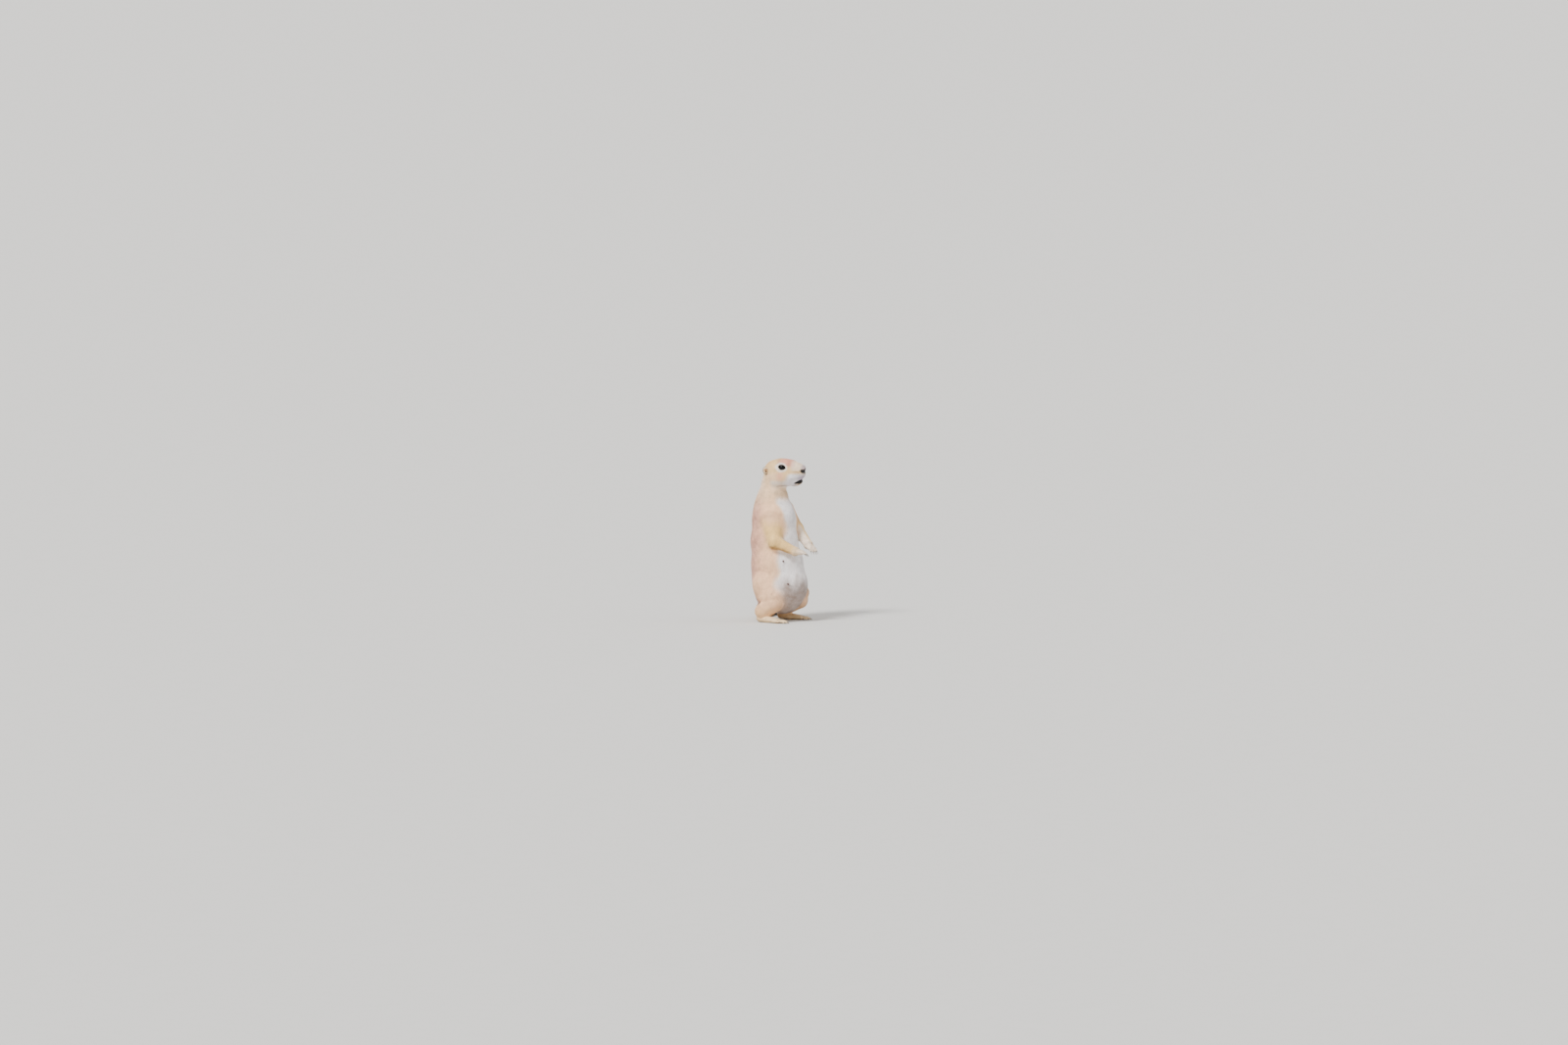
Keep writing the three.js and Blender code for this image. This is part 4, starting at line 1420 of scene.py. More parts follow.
@dataclass
class Skin:
    """The one skin of the body, cast on the flesh as a net of quads.

    Attributes:
        flesh: the field it is cast on.
        markings: its colours.
        step: side of a cell across and on the fine heights.
        tall_step: height of a cell where the body is plain.
        fine: heights with fine cells: feet, hands and head.
        low: lowest corner of the grid.
        high: its highest corner.
        draws: how often the points are drawn onto the field.
        draw_reach: how far one draw may move a point.
        points: the net's points, and the rows below hold what lies at each of them.
        quads: the net's faces.
        normals: outward directions.
        shares: how much each region owns them.
        lies: lie of the hair.
        colours: linear colours.
        dark_hairs: shares of darker hairs.
    """

    flesh: Flesh
    markings: Markings
    step: float = 1.05
    tall_step: float = 2.0
    fine: tuple[tuple[float, float], ...] = ((-1, 22), (106, 136), (220, 277))
    low: Point = (-54, -76, -1.0)
    high: Point = (91, 74, 277)
    draws: int = 2
    draw_reach: float = 0.5
    points: np.ndarray = field(init=False)
    quads: np.ndarray = field(init=False)
    normals: np.ndarray = field(init=False)
    shares: dict[Region, np.ndarray] = field(init=False)
    lies: np.ndarray = field(init=False)
    colours: np.ndarray = field(init=False)
    dark_hairs: np.ndarray = field(init=False)

    def axes(self) -> list[np.ndarray]:
        """Rows of coordinates of the grid; heights run finely inside the fine bands.

        Returns:
            The three rising rows of coordinates.
        """
        z, heights = self.low[2], []
        while z < self.high[2]:
            heights.append(z)
            z += self.step if any(a <= z <= b for a, b in self.fine) else self.tall_step
        across = [
            np.arange(self.low[i], self.high[i], self.step).astype(np.float32) for i in (0, 1)
        ]
        return [*across, np.array(heights, np.float32)]

    def cast(self) -> None:
        """Casts the net, draws its points onto the field and lays the soles flat."""
        axes = self.axes()
        points, quads = surface_net(self.flesh.on_grid(axes), axes)
        for _ in range(self.draws):
            normal = self.flesh.normal(points)
            reach = np.clip(self.flesh.distance(points), -self.draw_reach, self.draw_reach)
            points = points - normal * reach[:, None]
        points[:, 2] = np.maximum(points[:, 2], 0.0)
        self.points, self.quads = points, quads
        self.normals = self.flesh.normal(points)
        self.shares = self.flesh.shares(points)
        self.lies = self.flesh.lie(points, self.normals)
        self.colours = self.markings.colour(points, self.normals, self.shares, self.flesh.face)
        self.dark_hairs = self.markings.dark_hairs(points, self.shares)

    def build(self, shift: np.ndarray) -> None:
        """Makes the skin's object, which stands for every node of flesh.

        Args:
            shift: millimetres from the animal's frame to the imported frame.
        """
        piece = make_mesh("skin", self.points, self.quads, shift, UNDERFUR.painted(), Slot.BODY)
        paint(piece, self.colours)
        parts = ("thigh", "shank", "foot", "upper_arm", "forearm", "hand")
        limbs = [f"{part}_{tag}" for part in parts for tag in SIDES]
        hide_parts("torso", "neck", "head", "tail", *limbs)


# Pieces of the head


@dataclass
class Eyes:
    """Glossy dark balls, and the dark rims of their lids.

    Attributes:
        face: the openings they look out of.
        radius: of the hole that each ball sits in.
        play: how much smaller the ball is.
        bulge: height of the cornea.
        cornea: angle from the pupil at which it ends, in degrees.
        rings: rows of the ball from the pupil back.
        around: points in each row.
        rim: half thickness of the lid's cord.
        rim_wide: its half width, as a multiple of that.
        rim_out: how far its middle lies outside the hole's radius.
        rim_steps: points along each of its two arcs.
        rim_sides: corners of its profile.
    """

    face: Face
    radius: float = EYE_RADIUS
    play: float = 0.15
    bulge: float = 0.25
    cornea: float = 35
    rings: int = 33
    around: int = 48
    rim: float = 0.6
    rim_wide: float = 1.5
    rim_out: float = 0.35
    rim_steps: int = 22
    rim_sides: int = 8

    def ball(self, side: int) -> tuple[np.ndarray, np.ndarray]:
        """Sphere by rows round the pupil, with a cornea of bulge (1 - (angle / cornea)^2).

        Args:
            side: 1 for the left, -1 for the right.

        Returns:
            Points and quads.
        """
        polar = np.linspace(0.02, np.pi - 0.02, self.rings)
        turn = np.linspace(0, 2 * np.pi, self.around, endpoint=False)
        a, b = np.meshgrid(polar, turn, indexing="ij")
        bulge = self.bulge * np.maximum(0, 1 - (a / math.radians(self.cornea)) ** 2)
        r = self.radius - self.play + bulge
        local = np.stack([r * np.sin(a) * np.cos(b), r * np.sin(a) * np.sin(b), r * np.cos(a)], -1)
        points = local.reshape(-1, 3) @ self.face.eye_frame(side) + np.array(flip(EYE_AT, side))
        return head_to_animal(points), grid_faces(self.rings, self.around, False, True)

    def lid(self, side: int) -> tuple[np.ndarray, np.ndarray]:
        """A thin cord along the opening's edge, laid on the ball: out^2 = r^2 - x^2 - y^2.

        Args:
            side: 1 for the left, -1 for the right.

        Returns:
            Points and quads.
        """
        edge = self.face.almond.edge(self.rim_steps)
        reach = self.radius + self.rim_out
        out = np.sqrt(np.maximum(reach**2 - (edge**2).sum(axis=-1), 4.0))
        path = np.stack([edge[:, 0] * side, edge[:, 1], out], axis=-1)
        world = path @ self.face.eye_frame(side) + np.array(flip(EYE_AT, side))
        out = unit(path) @ self.face.eye_frame(side)
        loop = np.concatenate([world[-2:], world, world[:2]])
        outs = np.concatenate([out[-2:], out, out[:2]])
        along = unit(np.gradient(loop, axis=0))[2:-2]
        outs, loop = outs[2:-2], loop[2:-2]
        across = unit(np.cross(along, outs))
        a = np.linspace(0, 2 * np.pi, self.rim_sides, endpoint=False)
        rings = (
            loop[:, None]
            + (self.rim * self.rim_wide * np.cos(a))[None, :, None] * across[:, None]
            + (self.rim * np.sin(a))[None, :, None] * outs[:, None]
        )
        quads = grid_faces(len(loop), self.rim_sides, True, True)
        return head_to_animal(rings.reshape(-1, 3)), quads

    def build(self, shift: np.ndarray) -> None:
        """Makes both eyes and both pairs of lids.

        Args:
            shift: millimetres from the animal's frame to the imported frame.
        """
        wet, bare = WET_EYE.solid(), LID.solid()
        for tag, side in SIDES.items():
            ball = make_mesh(f"eyeball_{tag}", *self.ball(side), shift, wet, Slot.EYE)
            fix_normals(ball)
            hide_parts(f"eye_{tag}")
            fix_normals(make_mesh(f"lids_{tag}", *self.lid(side), shift, bare, Slot.EYE))


def fix_normals(piece: bpy.types.Object) -> None:
    """Joins doubled points, closes open ends and turns every face outward.

    Args:
        piece: the object.
    """
    work = bmesh.new()
    work.from_mesh(piece.data)
    bmesh.ops.remove_doubles(work, verts=work.verts, dist=1e-6)
    bmesh.ops.holes_fill(work, edges=work.edges, sides=64)
    bmesh.ops.recalc_face_normals(work, faces=work.faces)
    work.to_mesh(piece.data)
    work.free()


@dataclass
class Ears:
    """Small round cups set low on the sides of the head, thick with short hair.

    Attributes:
        face: where they sit.
        wide: half width of the oval.
        tall: half height of the oval.
        deep: height of the outer wall.
        wall: rows of points up the outer wall.
        bowl: rows of points down the bowl.
        around: points round each row.
        down: sRGB hex of the hair outside.
        rim: of the pale hair on the edge.
        lining: of the hair in the bowl.
        hole: of the bottom of the bowl, painted dark as the shade deep in the ear's opening.
    """

    face: Face
    wide: float = 5.1
    tall: float = 6.1
    deep: float = 4.0
    wall: int = 12
    bowl: int = 16
    around: int = 36
    down: str = "#e2bd90"
    rim: str = "#f0d2a6"
    lining: str = "#e0b588"
    # painted shade: the dark deep in the ear's opening
    hole: str = "#1d1413"

    def cup(self, side: int) -> tuple[np.ndarray, np.ndarray]:
        """Outer wall up an oval to the rim, then down the bowl: radius cos(t), height sin(t).

        Args:
            side: 1 for the left, -1 for the right.

        Returns:
            Points and quads.
        """
        up = np.radians(np.linspace(-80, 38, self.wall))
        down = np.radians(np.linspace(34, -86, self.bowl))
        radius = np.concatenate([np.cos(up), np.cos(down) * 0.74])
        height = np.concatenate([self.deep * np.sin(up), 1.5 * np.sin(down) + 1.55])
        slide = np.concatenate([np.zeros(self.wall), np.linspace(0.05, 1, self.bowl)])
        a = np.linspace(0, 2 * np.pi, self.around, endpoint=False)
        notch = 1 - 0.16 * bump(0, 0.6, np.arctan2(np.sin(a + 0.9), np.cos(a + 0.9)))
        local = np.stack(
            [
                side * (self.wide * radius[:, None] * np.cos(a) * notch - 0.9 * slide[:, None]),
                self.tall * radius[:, None] * np.sin(a) * notch - 3.1 * slide[:, None],
                np.broadcast_to(height[:, None], (len(radius), self.around)),
            ],
            axis=-1,
        ).reshape(-1, 3)
        frame = standing(flip(self.face.ear_out, side), (0, 0.2, 1))
        points = local @ frame + np.array(flip(self.face.ear_at, side))
        return head_to_animal(points), grid_faces(len(radius), self.around, False, True)

    def colours(self, row: np.ndarray) -> np.ndarray:
        """Crown colour outside, pale on the rim, buff inside and painted shade dark in the hole.

        Args:
            row: row of the cup that each point lies on.

        Returns:
            (n, 3) linear colours.
        """
        zones = (
            (self.rim, bump(self.wall, 3.0, row)),
            (self.lining, step(self.wall + 2, self.wall + 6, row)),
            # painted shade at the bottom of the bowl
            (self.hole, step(self.wall + 10.2, self.wall + 11.4, row)),
        )
        return laid_over(self.down, zones, len(row))

    def roots(self, rng: np.random.Generator, count: int) -> dict[str, np.ndarray]:
        """Places, outward directions and lie of the short hair on both ears.

        Args:
            rng: the seeded source of chance.
            count: tufts on each ear.

        Returns:
            The same entries as Coat.roots gives.
        """
        rows = {"at": [], "out": [], "lie": [], "colour": []}
        for side in (-1, 1):
            grid = self.cup(side)[0].reshape(-1, self.around, 3)
            behind = rng.random(count) < 0.45
            outer = rng.uniform(2, self.wall - 6, count)
            row = np.where(behind, outer, rng.uniform(self.wall + 1, self.wall + 8, count))
            turn = rng.uniform(0, self.around, count)
            i, j = row.astype(int), turn.astype(int) % self.around
            here, up, round_it = grid[i, j], grid[i + 1, j], grid[i, (j + 1) % self.around]
            at = here + (up - here) * (row - i)[:, None] + (round_it - here) * (turn % 1)[:, None]
            out = unit(np.cross(up - here, round_it - here))
            low = row < 5
            middle = grid.mean(axis=(0, 1))
            out = out * np.sign((out[low] * (at[low] - middle)).sum())
            rows["at"].append(at)
            rows["out"].append(out)
            climb = unit(up - here) * np.where(i >= self.wall, -0.25, 0.9)[:, None]
            rows["lie"].append(climb + head_direction(np.array([0.0, 0.7, 0.1])))
            rows["colour"].append(self.colours(row))
        made = {name: np.concatenate(values) for name, values in rows.items()}
        made["owner"] = np.full(2 * count, list(Region).index(Region.EAR))
        return made

    def build(self, shift: np.ndarray) -> None:
        """Makes the cups of both ears.

        Args:
            shift: millimetres from the animal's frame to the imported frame.
        """
        finish = EAR_SKIN.painted()
        for tag, side in SIDES.items():
            piece = make_mesh(f"ear_cup_{tag}", *self.cup(side), shift, finish, Slot.HEAD)
            paint(piece, self.colours(np.repeat(np.arange(self.wall + self.bowl), self.around)))
            fix_normals(piece)
            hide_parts(f"ear_{tag}")


# Claws, whiskers and teats


@dataclass
class Claws:
    """Horn claws of all four paws.

    Attributes:
        paws: what they grow on.
        thick: of a claw's root, as a share of the digit's half thickness.
        point: half thickness of its tip.
        tall: height of its profile, as a multiple of the width.
        drop: how far the tip bends down, as a share of the length.
        floor: lowest height of its middle line.
        sides: corners of its profile.
    """

    paws: tuple[Paw, ...]
    thick: float = 0.38
    point: float = 0.06
    tall: float = 1.25
    drop: float = 0.24
    floor: float = 0.32
    sides: int = 10

    def claw(self, paw: Paw, i: int) -> tuple[np.ndarray, np.ndarray]:
        """A cone bent down: root + forward s length - up drop s^2, thinning as (1 - s)^0.8.

        Args:
            paw: what it grows on.
            i: number of the digit.

        Returns:
            Points and quads.
        """
        _, _, end, forward = paw.digit(i)
        s = np.linspace(0, 1, 9)
        root = end - forward * paw.radius * 0.9 + 0.35 * UP
        path = root + forward * (s * paw.claw)[:, None]
        path[:, 2] -= paw.claw * self.drop * s**2
        path[:, 2] = np.maximum(path[:, 2], self.floor)
        thick = paw.radius * self.thick * (1 - s) ** 0.8 + self.point
        return tube(path, thick, thick * self.tall, UP, self.sides)

    def build(self, shift: np.ndarray) -> None:
        """Makes all the claws as one piece."""
        parts = [self.claw(p, i) for p in self.paws for i in range(len(p.roots))]
        fix_normals(make_mesh("claws", *join(parts), shift, HORN.solid(), Slot.PAW))


@dataclass
class Whiskers:
    """Tapered bristles on both sides of the muzzle.

    Attributes:
        skin: what they grow on.
        count: of both sides.
        thick: half thickness at the root.
        point: half thickness at the tip.
        sag: how far the tip is swept back and down, as a share of the length.
        seed: of the source of chance.
    """

    skin: Skin
    count: int = 26
    thick: float = 0.1
    point: float = 0.015
    sag: float = 0.3
    seed: int = 11

    def bristle(self, rng: np.random.Generator, side: int) -> tuple[np.ndarray, np.ndarray]:
        """A curve swept back from the muzzle, root + aim s L + sag s^2, thinning to its tip.

        Args:
            rng: the seeded source of chance.
            side: 1 for the left, -1 for the right.

        Returns:
            Points and quads.
        """
        at = np.array([side * rng.uniform(7, 9.5), rng.uniform(-50, -42), rng.uniform(-3, 4.5)])
        out, back, rise = rng.uniform(0.75, 1.0), rng.uniform(0.1, 0.75), rng.uniform(-0.45, 0.3)
        aim = unit(np.array([side * out, back, rise]))
        length = rng.uniform(13, 26)
        s = np.linspace(0, 1, 9)
        root = head_to_animal(at)
        net = self.skin.points
        nearest = net[np.argmin(np.linalg.norm(net - root, axis=1))]
        path = nearest + head_direction(aim) * (s * length)[:, None]
        swept = head_direction(np.array([0, 1.0, -0.35]))
        path = path + swept * (length * self.sag * s**2)[:, None]
        thick = (self.thick - self.point) * (1 - s) + self.point
        return tube(path, thick, thick, np.array([0.0, 0.1, 1.0]), 4)

    def build(self, shift: np.ndarray) -> None:
        """Makes all the whiskers as one piece.

        Args:
            shift: millimetres from the animal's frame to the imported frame.
        """
        rng = np.random.default_rng(self.seed)
        parts = [self.bristle(rng, side) for side in (-1, 1) for _ in range(self.count // 2)]
        make_mesh("whiskers", *join(parts), shift, BRISTLE.solid(), Slot.HEAD)


@dataclass
class Teats:
    """Teats of a mother, two on each side of the belly; the rest stay hidden in the coat.

    Attributes:
        spots: x that each one points to, and its height.
        length: from root to tip.
        sunk: how deep the root lies in the skin.
        radius: at the root.
        sides: corners of the profile.
    """

    spots: tuple[tuple[float, float], ...] = ((35, 104), (26, 66))
    length: float = 4.2
    sunk: float = 1.0
    radius: float = 1.7
    sides: int = 12

    def teat(self, x: float, z: float, flesh: Flesh) -> tuple[np.ndarray, np.ndarray]:
        """A peg where a ray leaves the flesh, thinning as sqrt(1 - 0.96 s^3) to a round end.

        Args:
            x: place across that it points to.
            z: its height.
            flesh: what it stands on.

        Returns:
            Points and quads.
        """
        middle, aim = np.array([0, 4.0, z]), unit(np.array([x, -34.0, 0.0]))
        far = np.linspace(10, 70, 241)
        d = flesh.distance(middle + aim * far[:, None])
        at = middle + aim * far[np.argmax(d > 0)]
        s = np.linspace(0, 1, 8)
        path = at + aim * (s * self.length - self.sunk)[:, None]
        thick = self.radius * np.sqrt(1 - 0.96 * s**3)
        return tube(path, thick, thick, UP, self.sides)

    def build(self, shift: np.ndarray, flesh: Flesh) -> None:
        """Makes the teats as one piece."""
        parts = [self.teat(x * side, z, flesh) for x, z in self.spots for side in (-1, 1)]
        fix_normals(make_mesh("teats", *join(parts), shift, TEAT_SKIN.solid(), Slot.BODY))


# The coat


@dataclass(frozen=True)
class Hair:
    """How the tufts of one region grow.

    Attributes:
        dense: tufts per square millimetre.
        length: of a tuft, along the body.
        width: across a tuft at its thickest.
        lift: how steeply it leaves the skin, in degrees.
        clump: how far the tips of neighbours lean together, from 0 to 1.
        stray: spread of directions, in degrees.
    """

    dense: float
    length: float
    width: float
    lift: float
    clump: float
    stray: float


HAIR = {
    Region.TRUNK: Hair(1.6, 7.0, 0.62, 6.5, 0.2, 7),
    Region.HEAD: Hair(2.6, 2.9, 0.42, 8, 0.1, 6),
    Region.ARM: Hair(2.0, 5.0, 0.52, 9, 0.15, 7),
    Region.HAND: Hair(2.6, 1.8, 0.34, 9, 0.1, 7),
    Region.THIGH: Hair(1.6, 6.5, 0.62, 6.5, 0.2, 7),
    Region.SHANK: Hair(2.0, 4.6, 0.52, 9, 0.15, 7),
    Region.FOOT: Hair(2.3, 2.0, 0.36, 9, 0.1, 7),
    Region.TAIL: Hair(2.0, 9.0, 0.7, 15, 0.2, 11),
    Region.EAR: Hair(2.6, 2.6, 0.3, 8, 0.1, 9),
}
EAR_TUFTS = 1300


@dataclass(frozen=True)
class Patch:
    """A piece of the coat: the skin it covers, and the axis that its map unrolls round.

    Attributes:
        name: the piece's name.
        slot: the record's slot.
        regions: which regions' skin it covers.
        start: foot of the axis.
        end: head of the axis.
        low: lowest height.
        high: greatest height.
        side: 0 for both sides, 1 for the left only, -1 for the right only.
        front: 0 for all round, -1 for the front half only, 1 for the back half only.
    """

    name: str
    slot: Slot
    regions: tuple[Region, ...]
    start: Point
    end: Point
    low: float = 0
    high: float = 400
    side: int = 0
    front: int = 0

    def covers(self, p: np.ndarray, owner: np.ndarray) -> np.ndarray:
        """Which points belong to the piece.

        Args:
            p: points of the animal's frame.
            owner: number of the region of each.

        Returns:
            True for each point covered.
        """
        mine = np.isin(owner, [list(Region).index(r) for r in self.regions])
        mine &= (p[:, 2] >= self.low) & (p[:, 2] < self.high)
        if self.side:
            mine &= p[:, 0] * self.side > 0
        if self.front:
            mine &= (p[:, 1] - TRUNK_AXIS) * self.front > 0
        return mine

    def chart(self, p: np.ndarray) -> np.ndarray:
        """Unrolls the skin: across by the angle round the axis, up by the place along it.

        Args:
            p: points of the animal's frame.

        Returns:
            (n, 2) places on the map, from 0 to 1.
        """
        a, b = np.array(self.start, float), np.array(self.end, float)
        along = unit(b - a)
        ref = np.array([0.0, 1.0, 0.0]) if abs(along[2]) > 0.7 else np.array([0.0, 0.0, 1.0])
        side = unit(np.cross(ref, along))
        q = p - a
        turn = np.arctan2(q @ side, q @ np.cross(along, side)) / (2 * np.pi) + 0.5
        place = q @ along / np.linalg.norm(b - a)
        return np.stack([turn, np.clip(place, 0, 1)], axis=-1) * 0.985 + 0.005


HEAD_AXIS = ((0, 20, 250), (6, -52, 250))
CHEST_AXIS = ((0, 8, 110), (0, 12, 190))
BELLY_AXIS = ((0, 4, 0), (0, 8, 120))
TRUNK_ONLY, LEG, FORELEG = (Region.TRUNK,), (Region.SHANK, Region.FOOT), (Region.ARM, Region.HAND)
PATCHES = (
    Patch("coat_face", Slot.HEAD, (Region.HEAD,), *HEAD_AXIS, front=-1),
    Patch("coat_crown", Slot.HEAD, (Region.HEAD,), *HEAD_AXIS, front=1),
    Patch("coat_neck", Slot.BODY, TRUNK_ONLY, (0, 12, 180), (0, 8, 245), low=186),
    Patch("coat_chest", Slot.BODY, TRUNK_ONLY, *CHEST_AXIS, low=118, high=186, front=-1),
    Patch("coat_back", Slot.BODY, TRUNK_ONLY, *CHEST_AXIS, low=118, high=186, front=1),
    Patch("coat_belly", Slot.BODY, TRUNK_ONLY, *BELLY_AXIS, high=118, front=-1),
    Patch("coat_rump", Slot.BODY, TRUNK_ONLY, *BELLY_AXIS, high=118, front=1),
    Patch("coat_thigh_r", Slot.LIMB, (Region.THIGH,), (-20, 20, 80), (-32, -20, 35), side=-1),
    Patch("coat_thigh_l", Slot.LIMB, (Region.THIGH,), (20, 20, 80), (32, -20, 35), side=1),
    Patch("coat_shank_r", Slot.LIMB, LEG, (-33, -40, 12), (-35, 30, 12), side=-1),
    Patch("coat_shank_l", Slot.LIMB, LEG, (33, -40, 12), (35, 30, 12), side=1),
    Patch("coat_arm_r", Slot.LIMB, FORELEG, (-24, 6, 190), (-30, -60, 118), side=-1),
    Patch("coat_arm_l", Slot.LIMB, FORELEG, (22, 6, 200), (28, -60, 122), side=1),
    Patch("coat_tail", Slot.TAIL, (Region.TAIL,), (4, 24, 12), (86, 52, 8)),
)
EAR_PATCH = Patch("coat_ears", Slot.HEAD, (Region.EAR,), (0, 6, 236), (0, 6, 264))


@dataclass(frozen=True)
class Blade:
    """Proportions of one tuft, the same all over.

    Attributes:
        lengths: least and greatest length, as shares of the region's.
        widths: least and greatest width, as shares of the region's.
        rises: least and greatest rise, as shares of what the lift gives.
        tip_up: height of the tip, as a share of the rise.
        middle_up: height of the middle over the line to the tip, as a share of the rise.
        cell: size of a clump, as a share of the length.
        least_cell: its least size.
        foot: width of the foot, as a share of the middle's.
        flat: thickness, as a share of the width.
        sunk: how deep the foot lies in the skin.
        low: lowest height of any point.
        tones: spread of brightness from tuft to tuft.
        greys: least and greatest share of grizzle in a darker hair.
        root_painted_shade: brightness of the foot, darker as painted shade among the tufts.
        tip_gain: how much brighter the tip is than the foot.
    """

    lengths: tuple[float, float] = (0.7, 1.25)
    widths: tuple[float, float] = (0.7, 1.2)
    rises: tuple[float, float] = (0.8, 1.1)
    tip_up: float = 0.45
    middle_up: float = 0.75
    cell: float = 0.6
    least_cell: float = 1.5
    foot: float = 0.8
    flat: float = 0.2
    sunk: float = 0.35
    low: float = 0.25
    tones: float = 0.06
    greys: tuple[float, float] = (0.2, 0.6)
    root_painted_shade: float = 0.9
    tip_gain: float = 0.14


# One tuft has seven points, three round its foot, three round its middle and its tip.
TUFT_QUADS = np.array([[0, 1, 4, 3], [1, 2, 5, 4], [2, 0, 3, 5]])
TUFT_ENDS = np.array([[3, 4, 6], [4, 5, 6], [5, 3, 6], [0, 2, 1]])
TUFT_ALONG = np.array([0, 0, 0, 0.5, 0.5, 0.5, 1.0])
TUFT_MAP = np.array([[0, 0], [0.5, 0], [1, 0], [0, 0.5], [0.5, 0.5], [1, 0.5], [0.5, 1]]) * 0.003


